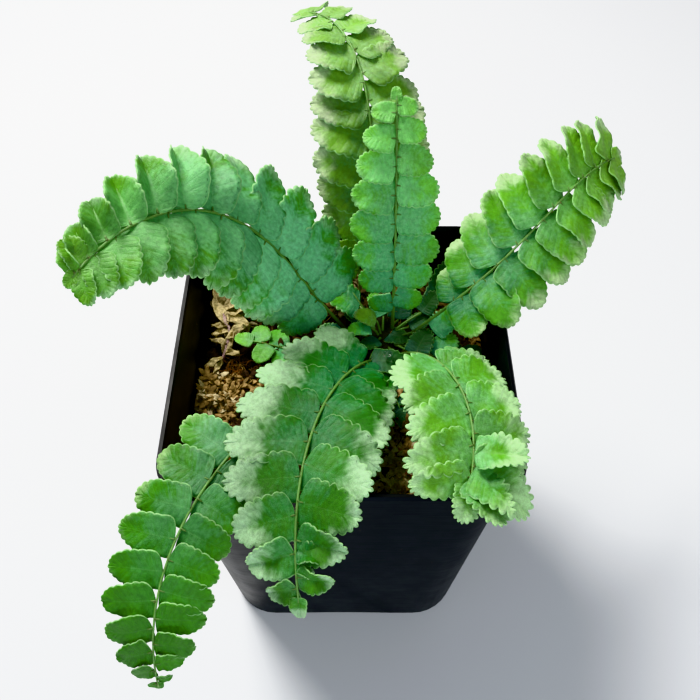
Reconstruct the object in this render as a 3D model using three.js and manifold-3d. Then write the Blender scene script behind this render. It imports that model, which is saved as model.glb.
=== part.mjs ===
// A young fern growing in dried long-fibre moss, in a square tapered plastic nursery pot.
// Millimetres, +Z up. The origin is the middle of the pot's underside; -Y is the front.
import * as THREE from "three";
import { mergeVertices } from "three/addons/utils/BufferGeometryUtils.js";
import Module from "manifold-3d";

const wasm = await Module();
wasm.setup();

// ---------- driving dimensions ----------

const clearance = 0.3; // air between neighbouring pieces
const past = 1; // how far a cutting shape goes beyond what it cuts

const pot = {
  height: 105,
  rimHalf: 45, // half the outside width at the rim
  rimCorner: 11, // corner radius at the rim
  baseHalf: 38,
  baseCorner: 14.5,
  baseChamfer: 0.8, // round the bottom edge
  collarHeight: 10, // the stiff band below the rim
  collarStep: 2.2, // how far the band stands out from the wall under it
  collarDraft: 0.5, // the band is this much narrower at its foot
  lipRound: 0.9,
  lipSlope: 0.6, // the lip's rounding goes in by this share of its height
  shoulder: [1, 3], // inside, the wall steps out to the band between these heights over its foot
  throat: [0.9, 0.5], // and is this much narrower at the step and under the lip
  wall: 1.3,
  floor: 2.4,
  standingRing: 5, // width of the ring that the pot stands on
  recess: 1.2, // depth of the underside between that ring and the middle boss
  bossRadius: 9,
  archWidth: 46, // shallow arch in each side's bottom edge
  archHeight: 1.5,
  holeRadius: 3.4,
  holeDistance: 19, // drain holes, from the middle
};

const bed = {
  height: 87, // mean surface of the moss
  crownRise: 1.6, // the surface is a little higher in the middle
  relief: 1.4,
  wander: 0.31, // how fast the waves that wander do so, in radians a millimetre
  waves: [
    { x: 0.61, y: 0, start: 0, wander: 1.3, height: 0.5 },
    { x: 0.37, y: 0.83, start: 2, wander: 0, height: 0.4 },
    { x: 1.21, y: -0.93, start: 0.7, wander: 0, height: 0.35 },
  ],
  cells: 14,
  top: { aboveCollar: 8, inset: 4, corner: 9 }, // where the filling would end if it were full
  strands: 14,
  strandSeed: 5,
  strandRadius: 1.1,
  strandTaper: 0.5,
  strandLength: [9, 18],
  strandCurl: 1.6, // radians, either way
  strandHump: [0.1, 1.3], // how high a strand's middle line lies at its ends, and rises from there
  strandInset: 11, // strands begin this far inside the rim
};

const crown = {
  centre: [11.5, 15, 84.5],
  size: [12, 11, 7], // half axes
  roots: 5,
  rootSeed: 11,
  rootRadius: 1,
  rootTaper: 0.6,
  rootLength: 44,
  rootStart: 5, // from the middle, at the top
  rootReach: [9, 18], // and how much further out at the bottom
  rootWave: 1.5,
  rootWaves: 6, // radians from top to bottom
  rootDrift: 0.6, // radians round the crown, either way
};

const blade = {
  thickness: 0.62,
  stations: [0, 0.19, 0.41, 0.61, 0.81, 1], // shares of the length
  fewStations: [0, 0.25, 0.65, 1], // on leaflets under shortLeaflet
  shortLeaflet: 8,
  scallop: 0.09, // how far bulges and notches leave the smooth outline
  skew: 0.75, // the widest place is this much nearer to the stalk than the middle
  fullness: 0.5, // 0 would be a rectangle, 1 pointed ends
  footwardShare: 1.06, // the edge towards the frond's foot is fuller
  tipwardShare: 0.94,
  stalkHalf: 0.75,
  tipHalf: 0.4, // blunt end, as a share of the half width
  droop: 0.1, // fall of the tip, as a share of the length
  taper: 0.8, // how late the leaflets shorten towards a frond's tip
  widest: 0.8, // width over the length, at most
  stagger: [0.15, 0.5], // a pair's two places, as shares of the spacing
  endAt: 0.985, // where the leaflet at the frond's end begins, as a share of the midrib
};

const rib = {
  footHeight: 86,
  footRadius: 1.1,
  tipRadius: 0.6,
  sides: 4,
  steps: 12,
  samples: 60,
  young: 40, // a frond shorter than this is a young one, with a thinner midrib
  youngShare: 0.75,
  youngSteps: 5,
};

// A frond is a curved midrib with leaflets on both sides. Heading (0 is +X, 90 is +Y) and pitch are
// in degrees: at the foot, the pull in the middle, and at the tip. Roll turns the leaflets' plane.
// Overlap is a leaflet's width over the spacing. Crowd, over 1, brings the pairs closer towards the
// tip. Sides shortens the left and the right leaflets. Swing is their angle from the midrib, in degrees,
// at the frond's foot and tip, left and then right. Tilt, in degrees, turns each leaflet about its
// own length, so that the edge towards the frond's foot lies higher. End is the last one's length.
// A tuft is more leaflets where the frond's tip is crumpled.
const fronds = [
  {
    name: "frond_left",
    foot: [3.5, 16.9],
    heading: [172, 230, 234],
    pitch: [53, 102, -21],
    length: 113.7,
    roll: [84, 17],
    first: 0.17,
    pairs: 12,
    overlap: 1.4,
    crowd: 1.43,
    sides: [0.91, 0.97],
    swing: [[110, 52], [88, 113]],
    tilt: 13,
    end: 6,
    leaflet: { length: 19.1, footShare: 0.66, tipShare: 0.36, longestAt: 0.4 },
    color: 0x5f9a4f,
  },
  {
    name: "frond_back",
    foot: [8, 24],
    heading: [90, 76, 138],
    pitch: [78, 76, -27],
    length: 107,
    roll: [-2, -2],
    first: 0.3,
    pairs: 10,
    overlap: 1.4,
    crowd: 1,
    sides: [1, 0.9],
    swing: [[86, 66], [86, 66]],
    tilt: 11,
    end: 8,
    leaflet: { length: 16.5, footShare: 0.8, tipShare: 0.39, longestAt: 0.3 },
    color: 0x7fb05a,
  },
  {
    name: "frond_centre",
    foot: [14.5, 16],
    heading: [95, 91, 92],
    pitch: [89, 73, 50],
    length: 73.7,
    roll: [10, -4],
    first: 0.2,
    pairs: 8,
    overlap: 1.4,
    crowd: 1.2,
    sides: [1.03, 1],
    swing: [[102, 84], [111, 95]],
    tilt: 13,
    end: 5,
    leaflet: { length: 11.9, footShare: 0.55, tipShare: 0.35, longestAt: 0.42 },
    color: 0x4f9a50,
  },
  {
    name: "frond_right",
    foot: [16.7, 14.6],
    heading: [-34, 71, 42],
    pitch: [66, 30, -20],
    length: 95.2,
    roll: [2, -47],
    first: 0.26,
    pairs: 10,
    overlap: 1.35,
    crowd: 1.1,
    sides: [1.04, 0.95],
    swing: [[76, 69], [117, 65]],
    tilt: 13,
    end: 7,
    leaflet: { length: 17, footShare: 0.63, tipShare: 0.62, longestAt: 0.27 },
    color: 0x6fae55,
  },
  {
    name: "frond_front_right",
    foot: [15.3, 10.3],
    heading: [-53, -63, -105],
    pitch: [55, 38, -26],
    length: 69.5,
    roll: [6, 19],
    first: 0.38,
    pairs: 5,
    overlap: 1.3,
    crowd: 1.2,
    sides: [0.93, 1.04],
    swing: [[79, 103], [72, 68]],
    tilt: 13,
    end: 9,
    leaflet: { length: 16.5, footShare: 0.95, tipShare: 0.53, longestAt: 0.85 },
    tuft: [
      { share: 0.94, heading: -34, pitch: 2, length: 14, width: 11 },
      { share: 0.88, heading: -10, pitch: 14, length: 12.5, width: 9 },
      { share: 0.96, heading: -66, pitch: 12, length: 10, width: 8.5 },
    ],
    color: 0x6cb145,
  },
  {
    name: "frond_front",
    foot: [12.5, 8.8],
    heading: [-129, -109, -82],
    pitch: [49, 25, -47],
    length: 93,
    roll: [31, -24],
    first: 0.14,
    pairs: 9,
    overlap: 1.34,
    crowd: 1.1,
    sides: [0.87, 0.94],
    swing: [[75, 77], [82, 75]],
    tilt: 13,
    end: 7.5,
    leaflet: { length: 18.8, footShare: 0.67, tipShare: 0.28, longestAt: 0.42 },
    tuft: [
      { share: 0.88, heading: -10, pitch: 6, length: 7, width: 5 },
      { share: 0.91, heading: -24, pitch: -24, length: 5.5, width: 2.6 },
    ],
    color: 0x79b36a,
  },
  {
    name: "frond_front_left",
    foot: [6.5, 11.2],
    heading: [-120.6, -145.6, -81.7],
    pitch: [30.4, 27, -67],
    length: 121,
    roll: [22, -1],
    first: 0.48,
    pairs: 10,
    overlap: 1.3,
    crowd: 1.3,
    sides: [0.76, 1],
    swing: [[88, 88], [108, 67]],
    tilt: 13,
    end: 3,
    leaflet: { length: 13.6, footShare: 1.13, tipShare: 0.02, longestAt: 0.57 },
    color: 0x4d9a38,
  },
  {
    name: "young_frond_left",
    foot: [-9, 8],
    heading: [176, 178, 170],
    pitch: [50, 20, 5],
    length: 19,
    roll: [0, 0],
    first: 0.45,
    pairs: 2,
    overlap: 1.44,
    crowd: 1,
    sides: [1, 1],
    swing: [[86, 66], [86, 66]],
    tilt: 13,
    end: 5.6,
    leaflet: { length: 7, footShare: 1, tipShare: 0.8, longestAt: 0.5 },
    color: 0x5fb33a,
  },
  {
    name: "young_frond_front",
    foot: [12.5, 3],
    heading: [-85, -80, -70],
    pitch: [52, 18, -8],
    length: 17,
    roll: [0, 0],
    first: 0.35,
    pairs: 2,
    overlap: 1.44,
    crowd: 1,
    sides: [1, 1],
    swing: [[86, 66], [86, 66]],
    tilt: 13,
    end: 6.4,
    leaflet: { length: 8, footShare: 1, tipShare: 0.8, longestAt: 0.5 },
    color: 0x2f6e33,
  },
  {
    name: "young_frond_right",
    foot: [20.5, 5.5],
    heading: [-5, 5, 15],
    pitch: [45, 20, 0],
    length: 16,
    roll: [0, 0],
    first: 0.4,
    pairs: 2,
    overlap: 1.44,
    crowd: 1,
    sides: [1, 1],
    swing: [[86, 66], [86, 66]],
    tilt: 13,
    end: 5.6,
    leaflet: { length: 7, footShare: 1, tipShare: 0.8, longestAt: 0.5 },
    color: 0x3f8a40,
  },
  {
    name: "young_frond_back",
    foot: [5.2, 30],
    heading: [100, 95, 110],
    pitch: [78, 74, 50],
    length: 32,
    roll: [0, 0],
    first: 0.35,
    pairs: 3,
    overlap: 1.44,
    crowd: 1,
    sides: [1, 1],
    swing: [[86, 66], [86, 66]],
    tilt: 13,
    end: 5,
    leaflet: { length: 7, footShare: 0.9, tipShare: 0.7, longestAt: 0.5 },
    color: 0x8fae3c,
  },
];

// A dead, papery side shoot of the moss that stands clear of the rest.
const sprig = {
  points: [
    [-35.5, 24, 92],
    [-35, 19, 93],
    [-33, 14, 92.6],
    [-33.5, 9, 91.6],
    [-34.5, 5, 90.4],
  ],
  radius: 0.75,
  steps: 10,
  scales: 6,
  scaleLength: 5.6,
  scaleWidth: 3,
  scaleLean: [0.35, 0.2], // towards +Y and +Z, for each unit out to a side
  scaleForward: 0.6,
};

const colors = { pot: 0x1d2026, moss: 0xa98552, crown: 0x4b3a26, sprig: 0x6f5148 };

// ---------- solids and meshes ----------

function solidOf(geometry) {
  const bare = geometry.clone();
  bare.deleteAttribute("normal");
  bare.deleteAttribute("uv");
  const merged = mergeVertices(bare, 1e-4);
  return new wasm.Manifold(
    new wasm.Mesh({
      numProp: 3,
      vertProperties: new Float32Array(merged.attributes.position.array),
      triVerts: new Uint32Array(merged.index.array),
    }),
  );
}

function geometryOf(solid) {
  const made = solid.getMesh();
  const geometry = new THREE.BufferGeometry();
  geometry.setAttribute("position", new THREE.BufferAttribute(made.vertProperties, 3));
  geometry.setIndex(new THREE.BufferAttribute(made.triVerts, 1));
  geometry.computeVertexNormals();
  return geometry;
}

function meshOf(name, geometry, color, roughness) {
  const material = new THREE.MeshStandardMaterial({ color, roughness, metalness: 0 });
  const mesh = new THREE.Mesh(geometry, material);
  mesh.name = name;
  return mesh;
}

function bendEach(geometry, move) {
  const position = geometry.attributes.position;
  const point = new THREE.Vector3();
  for (let i = 0; i < position.count; i++) {
    point.fromBufferAttribute(position, i);
    move(point);
    position.setXYZ(i, point.x, point.y, point.z);
  }
  return geometry;
}

// Seeded draw, so that every run grows the same plant.
function seeded(seed) {
  let state = seed;
  return () => {
    state = (state * 16807) % 2147483647;
    return state / 2147483647;
  };
}

// A block with rounded corners whose width and corner radius change with height.
// Each level is [height, half width, corner radius].
function squareLoft(levels, arcSegments = 4) {
  const half = 10;
  const corner = 4;
  const inner = half - corner;
  const outline = new THREE.Shape();
  [0, 1, 2, 3].forEach((quarter) => {
    const x = quarter === 0 || quarter === 3 ? inner : -inner;
    const y = quarter < 2 ? inner : -inner;
    const start = (quarter * Math.PI) / 2;
    outline.absarc(x, y, corner, start, start + Math.PI / 2, false);
  });
  const geometry = new THREE.ExtrudeGeometry(outline, {
    depth: levels.length - 1,
    steps: levels.length - 1,
    curveSegments: arcSegments,
    bevelEnabled: false,
  });
  return bendEach(geometry, (point) => {
    const [height, toSide, radius] = levels[Math.round(point.z)];
    const grow = (value) => {
      const side = Math.sign(value);
      return side * (toSide - radius) + ((value - side * inner) / corner) * radius;
    };
    point.set(grow(point.x), grow(point.y), height);
  });
}

// ---------- pot ----------

function wallAt(height, inset) {
  const share = height / (pot.height - pot.collarHeight);
  const top = pot.rimHalf - pot.collarStep;
  const half = pot.baseHalf + (top - pot.baseHalf) * share - inset;
  const corner = pot.baseCorner + (pot.rimCorner - pot.baseCorner) * share - inset;
  return [height, half, corner];
}

function potSolid() {
  const { height, rimHalf, rimCorner, collarHeight, lipRound, wall } = pot;
  const collarFoot = height - collarHeight;
  const outside = solidOf(
    squareLoft([
      wallAt(0, pot.baseChamfer),
      wallAt(pot.baseChamfer, 0),
      wallAt(collarFoot, 0),
      [collarFoot, rimHalf - pot.collarDraft, rimCorner],
      [height - lipRound, rimHalf, rimCorner],
      [height, rimHalf - lipRound * pot.lipSlope, rimCorner - lipRound * pot.lipSlope],
    ]),
  );
  const inside = solidOf(
    squareLoft([
      wallAt(pot.floor, wall),
      wallAt(collarFoot + pot.shoulder[0], wall),
      [collarFoot + pot.shoulder[1], rimHalf - wall - pot.throat[0], rimCorner - wall],
      [height - lipRound, rimHalf - wall - pot.throat[1], rimCorner - wall],
      [height + past, rimHalf - wall + pot.throat[1], rimCorner - wall],
    ]),
  );
  let solid = outside.subtract(inside);

  // Underside: a recess between the standing ring and the middle boss.
  const ringInside = [pot.baseHalf - pot.standingRing, pot.baseCorner - pot.standingRing];
  const recess = solidOf(
    squareLoft([
      [-past, ...ringInside],
      [pot.recess, ...ringInside],
    ]),
  );
  const bossHeight = 2 * (pot.recess + past);
  const bossShape = new THREE.CylinderGeometry(pot.bossRadius, pot.bossRadius, bossHeight, 16);
  bossShape.rotateX(Math.PI / 2);
  solid = solid.subtract(recess.subtract(solidOf(bossShape)));

  // A shallow arch along the bottom edge of each side leaves four corner feet.
  const halfArch = pot.archWidth / 2;
  const archRise = pot.archHeight;
  const archRadius = (halfArch * halfArch + archRise * archRise) / (2 * archRise);
  const archAngle = Math.asin(halfArch / archRadius);
  const archOutline = new THREE.Shape();
  archOutline.absarc(
    0,
    archRise - archRadius,
    archRadius,
    Math.PI / 2 - archAngle,
    Math.PI / 2 + archAngle,
    false,
  );
  archOutline.lineTo(-halfArch, -past);
  archOutline.lineTo(halfArch, -past);
  const archReach = pot.standingRing + 2 * past;
  const arch = new THREE.ExtrudeGeometry(archOutline, {
    depth: archReach,
    curveSegments: 6,
    bevelEnabled: false,
  });
  arch.rotateX(Math.PI / 2);
  arch.translate(0, archReach - pot.baseHalf - past, 0);
  for (let i = 0; i < 4; i++)
    solid = solid.subtract(solidOf(arch.clone().rotateZ((i * Math.PI) / 2)));

  // Drain holes through the floor.
  for (let i = 0; i < 4; i++) {
    const angle = Math.PI / 4 + (i * Math.PI) / 2;
    const holeDepth = pot.floor + 2 * past;
    const hole = new THREE.CylinderGeometry(pot.holeRadius, pot.holeRadius, holeDepth, 10);
    const [x, y] = [pot.holeDistance * Math.cos(angle), pot.holeDistance * Math.sin(angle)];
    hole.rotateX(Math.PI / 2);
    hole.translate(x, y, pot.floor / 2);
    solid = solid.subtract(solidOf(hole));
  }
  return solid;
}

// ---------- fronds ----------

// Pull between three values, as along a quadratic Bezier curve.
function between([start, pull, end], share) {
  const rest = 1 - share;
  return start * rest * rest + 2 * pull * share * rest + end * share * share;
}

// Places along a frond's midrib: point, along (towards the tip), side (to the right) and up.
function midrib(frond) {
  const points = [new THREE.Vector3(...frond.foot, rib.footHeight)];
  const step = frond.length / rib.samples;
  const direction = (share) => {
    const heading = THREE.MathUtils.degToRad(between(frond.heading, share));
    const pitch = THREE.MathUtils.degToRad(between(frond.pitch, share));
    return new THREE.Vector3(
      Math.cos(pitch) * Math.cos(heading),
      Math.cos(pitch) * Math.sin(heading),
      Math.sin(pitch),
    );
  };
  for (let i = 0; i < rib.samples; i++)
    points.push(points[i].clone().addScaledVector(direction((i + 0.5) / rib.samples), step));
  return (share) => {
    const place = THREE.MathUtils.clamp(share, 0, 1) * rib.samples;
    const low = Math.min(Math.floor(place), rib.samples - 1);
    const point = points[low].clone().lerp(points[low + 1], place - low);
    const along = direction(THREE.MathUtils.clamp(share, 0, 1));
    const heading = THREE.MathUtils.degToRad(between(frond.heading, share));
    const side = new THREE.Vector3(Math.sin(heading), -Math.cos(heading), 0);
    const roll = THREE.MathUtils.degToRad(THREE.MathUtils.lerp(...frond.roll, share));
    side.applyAxisAngle(along, -roll);
    const up = new THREE.Vector3().crossVectors(side, along);
    return { point, along, side, up };
  };
}

// Length of the leaflets along a frond, as a share of the longest.
function leafletShare({ footShare, tipShare, longestAt }, place) {
  if (place < longestAt)
    return footShare + (1 - footShare) * Math.sin(((Math.PI / 2) * place) / longestAt);
  const beyond = Math.min((place - longestAt) / (1 - longestAt), 0.9999);
  return tipShare + (1 - tipShare) * Math.cos((Math.PI / 2) * beyond) ** blade.taper;
}

// Half width of a leaflet along its length, as a share of the widest.
function roundedOblong(share) {
  const skewed = share ** blade.skew;
  return (4 * skewed * (1 - skewed)) ** blade.fullness;
}

// A flat leaflet along +X from the origin, waved at both edges, its tip falling along -Z.
// tipwardSign says on which side of X the frond's tip lies.
function leafletGeometry(length, width, tipwardSign) {
  const stations = length < blade.shortLeaflet ? blade.fewStations : blade.stations;
  const steps = stations.length - 1;
  const geometry = new THREE.BoxGeometry(1, 1, 1, steps, 1, 1);
  return bendEach(geometry, (point) => {
    const station = Math.round((point.x + 0.5) * steps);
    const share = stations[station];
    const wave = station % 2 ? 1 + blade.scallop : 1 - blade.scallop;
    let half = (width / 2) * roundedOblong(share) * wave;
    if (station === 0) half = blade.stalkHalf;
    if (station === steps) half = (width / 2) * blade.tipHalf;
    const tipward = Math.sign(point.y) === tipwardSign;
    const edge = tipward ? blade.tipwardShare : blade.footwardShare;
    point.set(
      share * length,
      Math.sign(point.y) * half * edge,
      point.z * blade.thickness - blade.droop * length * share * share,
    );
  });
}

function ribGeometry(frond, placeAt, extra) {
  const young = frond.length < rib.young;
  const thin = young ? rib.youngShare : 1;
  const tube = new THREE.CylinderGeometry(
    rib.tipRadius * thin + extra,
    rib.footRadius * thin + extra,
    1,
    rib.sides,
    young ? rib.youngSteps : rib.steps,
  );
  return bendEach(tube, (point) => {
    const share = point.y + 0.5;
    const place = placeAt(share);
    const across = place.side.multiplyScalar(point.x).addScaledVector(place.up, point.z);
    point.copy(place.point).add(across);
    if (extra > 0 && share === 0) point.addScaledVector(place.along, -extra);
  });
}

// A leaflet is set on the frond with its own axes: along it, across it and up.
function leafletAt(point, [along, across, up], length, width, tipwardSign) {
  const geometry = leafletGeometry(length, width, tipwardSign);
  geometry.applyMatrix4(new THREE.Matrix4().makeBasis(along, across, up));
  geometry.translate(point.x, point.y, point.z);
  return solidOf(geometry);
}

// Swing turns a leaflet away from the midrib, to the left (side -1) or to the right (side 1).
function pairedLeaflet(frond, place, swing, side, length, width) {
  const along = place.along
    .clone()
    .multiplyScalar(Math.cos(swing))
    .addScaledVector(place.side, side * Math.sin(swing));
  const tipward = place.along.clone().addScaledVector(along, -place.along.dot(along));
  if (tipward.lengthSq() < 1e-6) tipward.copy(place.side);
  tipward.normalize();
  const tilt = THREE.MathUtils.degToRad(side === 0 ? 0 : frond.tilt);
  const up = place.up.clone().multiplyScalar(Math.cos(tilt));
  up.addScaledVector(tipward, Math.sin(tilt));
  const across = new THREE.Vector3().crossVectors(up, along).normalize();
  up.crossVectors(along, across);
  const tipwardSign = Math.sign(across.dot(tipward)) || 1;
  return leafletAt(place.point, [along, across, up], length, width, tipwardSign);
}

function tuftLeaflet(place, { heading, pitch, length, width }) {
  const turn = THREE.MathUtils.degToRad(heading);
  const lift = THREE.MathUtils.degToRad(pitch);
  const along = new THREE.Vector3(
    Math.cos(lift) * Math.cos(turn),
    Math.cos(lift) * Math.sin(turn),
    Math.sin(lift),
  );
  const across = new THREE.Vector3(-Math.sin(turn), Math.cos(turn), 0);
  const up = new THREE.Vector3().crossVectors(along, across);
  return leafletAt(place.point, [along, across, up], length, width, 1);
}

function frondSolid(frond) {
  const { pairs, first, crowd, sides, leaflet } = frond;
  const placeAt = midrib(frond);
  const spacing = ((1 - first) * frond.length) / pairs;
  let solid = solidOf(ribGeometry(frond, placeAt, 0));
  for (let i = 0; i < pairs; i++) {
    [-1, 1].forEach((side, which) => {
      const even = (i + blade.stagger[which]) / pairs;
      const grown = 1 - (1 - even) ** crowd;
      const share = first + (1 - first) * grown;
      const swing = THREE.MathUtils.degToRad(THREE.MathUtils.lerp(...frond.swing[which], share));
      const length = leaflet.length * leafletShare(leaflet, grown) * sides[which];
      const room = spacing * crowd * (1 - even) ** (crowd - 1);
      const width = Math.min(room * frond.overlap, length * blade.widest);
      solid = solid.add(pairedLeaflet(frond, placeAt(share), swing, side, length, width));
    });
  }
  const endWidth = frond.end * blade.widest;
  solid = solid.add(pairedLeaflet(frond, placeAt(blade.endAt), 0, 0, frond.end, endWidth));
  (frond.tuft ?? []).forEach((one) => {
    solid = solid.add(tuftLeaflet(placeAt(one.share), one));
  });
  return solid;
}

// ---------- crown with its roots ----------

function crownSolid(extra) {
  const dome = new THREE.SphereGeometry(1, 12, 7);
  dome.rotateX(Math.PI / 2);
  dome.scale(crown.size[0] + extra, crown.size[1] + extra, crown.size[2] + extra);
  dome.translate(...crown.centre);
  let solid = solidOf(dome);
  const random = seeded(crown.rootSeed);
  for (let i = 0; i < crown.roots; i++) {
    const angle = ((i + 0.5) / crown.roots) * Math.PI * 2;
    const reach = THREE.MathUtils.lerp(...crown.rootReach, random());
    const drift = crown.rootDrift * (random() * 2 - 1);
    const [x, y, z] = crown.centre;
    const depth = crown.rootLength + extra;
    const root = new THREE.CylinderGeometry(
      crown.rootRadius + extra,
      crown.rootRadius * crown.rootTaper + extra,
      1,
      4,
      4,
    );
    bendEach(root, (point) => {
      const down = 0.5 - point.y;
      const wave = crown.rootWave * Math.sin(down * crown.rootWaves + i);
      const out = crown.rootStart + reach * down + wave;
      const heading = angle + drift * down;
      point.set(
        x + Math.cos(heading) * out + point.x,
        y + Math.sin(heading) * out - point.z,
        z - depth * down,
      );
    });
    solid = solid.add(solidOf(root));
  }
  return solid;
}

// ---------- dead sprig ----------

function sprigSolid(extra) {
  const curve = new THREE.CatmullRomCurve3(sprig.points.map((p) => new THREE.Vector3(...p)));
  const section = new THREE.Shape();
  section.absarc(0, 0, sprig.radius + extra, 0, Math.PI * 2, false);
  const stem = new THREE.ExtrudeGeometry(section, {
    steps: sprig.steps,
    curveSegments: 3,
    extrudePath: curve,
  });
  let solid = solidOf(stem);
  for (let i = 0; i < sprig.scales; i++) {
    const share = (i + 0.5) / sprig.scales;
    const at = curve.getPoint(share);
    const along = curve.getTangent(share);
    const side = i % 2 ? 1 : -1;
    const out = new THREE.Vector3(side, ...sprig.scaleLean);
    out.addScaledVector(along, sprig.scaleForward).normalize();
    const up = new THREE.Vector3(0, 0, 1).addScaledVector(out, -out.z).normalize();
    const across = new THREE.Vector3().crossVectors(up, out);
    const leaf = leafletGeometry(sprig.scaleLength + extra, sprig.scaleWidth + 2 * extra, 1);
    leaf.scale(1, 1, (blade.thickness + 2 * extra) / blade.thickness);
    leaf.applyMatrix4(new THREE.Matrix4().makeBasis(out, across, up));
    solid = solid.add(solidOf(leaf.translate(at.x, at.y, at.z)));
  }
  return solid;
}

// ---------- moss bed ----------

function reliefAt(x, y) {
  const away = Math.hypot(x, y) / pot.rimHalf;
  const swell = Math.sin(y * bed.wander);
  const rise = bed.waves.reduce(
    (sum, wave) =>
      sum + wave.height * Math.sin(x * wave.x + y * wave.y + wave.start + wave.wander * swell),
    0,
  );
  return bed.height + bed.crownRise * (1 - away * away) + bed.relief * rise;
}

function bedSolid(stemHoles) {
  const collarFoot = pot.height - pot.collarHeight;
  const inset = pot.wall + clearance;
  const filling = solidOf(
    squareLoft([
      wallAt(pot.floor + clearance, inset),
      wallAt(collarFoot, inset),
      [collarFoot + bed.top.aboveCollar, pot.rimHalf - bed.top.inset, bed.top.corner],
    ]),
  );
  const width = 2 * (pot.rimHalf + past);
  const block = new THREE.BoxGeometry(width, width, 1, bed.cells, bed.cells, 1);
  bendEach(block, (point) => {
    point.z = point.z < 0 ? 0 : reliefAt(point.x, point.y);
  });
  let surface = solidOf(block);
  const random = seeded(bed.strandSeed);
  const reach = pot.rimHalf - bed.strandInset;
  const [ends, hump] = bed.strandHump;
  for (let i = 0; i < bed.strands; i++) {
    const x = (random() * 2 - 1) * reach;
    const y = (random() * 2 - 1) * reach;
    const heading = random() * Math.PI * 2;
    const curl = (random() * 2 - 1) * bed.strandCurl;
    const length = THREE.MathUtils.lerp(...bed.strandLength, random());
    const strand = new THREE.CylinderGeometry(
      bed.strandRadius * bed.strandTaper,
      bed.strandRadius,
      1,
      4,
      3,
    );
    bendEach(strand, (point) => {
      const share = point.y + 0.5;
      const turned = heading + curl * share;
      const px = x + Math.cos(turned) * length * share;
      const py = y + Math.sin(turned) * length * share;
      const lying = reliefAt(px, py) + ends + hump * Math.sin(share * Math.PI);
      const acrossX = Math.sin(turned) * point.x;
      const acrossY = -Math.cos(turned) * point.x;
      point.set(px + acrossX, py + acrossY, lying + point.z);
    });
    surface = surface.add(solidOf(strand));
  }
  let solid = filling.intersect(surface);
  stemHoles.forEach((hole) => {
    solid = solid.subtract(hole);
  });
  return solid;
}

// ---------- assembly ----------

function largestBody(solid) {
  return solid.decompose().reduce((best, body) => (body.volume() > best.volume() ? body : best));
}

const stemHoles = fronds.map((frond) => solidOf(ribGeometry(frond, midrib(frond), clearance)));
const fern = new THREE.Group();
fern.add(meshOf("pot", geometryOf(potSolid()), colors.pot, 0.42));
const bedCuts = [...stemHoles, crownSolid(clearance), sprigSolid(clearance)];
fern.add(meshOf("moss_bed", geometryOf(largestBody(bedSolid(bedCuts))), colors.moss, 0.95));
const crownWithHoles = stemHoles.reduce((solid, hole) => solid.subtract(hole), crownSolid(0));
fern.add(meshOf("crown", geometryOf(largestBody(crownWithHoles)), colors.crown, 0.9));
fern.add(meshOf("dead_sprig", geometryOf(sprigSolid(0)), colors.sprig, 0.9));
fronds.forEach((frond) => {
  fern.add(meshOf(frond.name, geometryOf(frondSolid(frond)), frond.color, 0.6));
});

export default fern;
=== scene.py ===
import math
import random

import bmesh
import bpy
from mathutils import Matrix, Vector, noise


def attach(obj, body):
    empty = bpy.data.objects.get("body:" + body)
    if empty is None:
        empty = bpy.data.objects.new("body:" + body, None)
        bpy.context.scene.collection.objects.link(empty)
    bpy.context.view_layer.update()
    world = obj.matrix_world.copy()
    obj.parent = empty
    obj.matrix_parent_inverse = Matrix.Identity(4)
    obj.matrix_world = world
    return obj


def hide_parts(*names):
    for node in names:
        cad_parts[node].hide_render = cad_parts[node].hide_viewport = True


# A young fern in dried long-fibre moss, in a square black nursery pot.
# Metres; +Z is up, -Y is the front. Lengths in the dictionaries are millimetres.

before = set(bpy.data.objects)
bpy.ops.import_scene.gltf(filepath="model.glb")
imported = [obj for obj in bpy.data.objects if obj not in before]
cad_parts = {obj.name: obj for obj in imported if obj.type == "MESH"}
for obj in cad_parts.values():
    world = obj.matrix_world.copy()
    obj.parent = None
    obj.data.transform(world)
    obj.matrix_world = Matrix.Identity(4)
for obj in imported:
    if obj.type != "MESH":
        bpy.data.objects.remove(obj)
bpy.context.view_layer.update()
mm = 0.001

# Camera and lights.

cameraSet = {
    "focalLength": 40.47,
    "sensorWidth": 36.0,
    "aim": (2.07, 0.0, 102.6),
    "distance": 212.3,
    "elevation": 53.8,
}


def addCamera(values):
    lens = bpy.data.cameras.new("photoCamera")
    lens.sensor_fit = "HORIZONTAL"
    lens.sensor_width = values["sensorWidth"]
    lens.lens = values["focalLength"]
    lens.clip_start = 0.005
    lens.clip_end = 20
    body = bpy.data.objects.new("photoCamera", lens)
    lift = math.radians(values["elevation"])
    back = Vector((0, -math.cos(lift), math.sin(lift)))
    body.location = (Vector(values["aim"]) + back * values["distance"]) * mm
    body.rotation_euler = (math.pi / 2 - lift, 0, 0)
    bpy.context.scene.collection.objects.link(body)
    bpy.context.scene.camera = body


lightSet = {
    "sky": {"colour": (0.88, 0.93, 1.0), "strength": 0.28},
    "lamps": {
        "key": {"at": (-260, 320, 620), "size": 300, "power": 8.4, "colour": (1.0, 0.98, 0.94)},
        "fill": {"at": (430, -380, 420), "size": 500, "power": 1.5, "colour": (0.92, 0.96, 1.0)},
        "window": {"at": (-80, -620, 170), "size": 240, "power": 1.4, "colour": (0.8, 0.88, 1.0)},
    },
}


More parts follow.
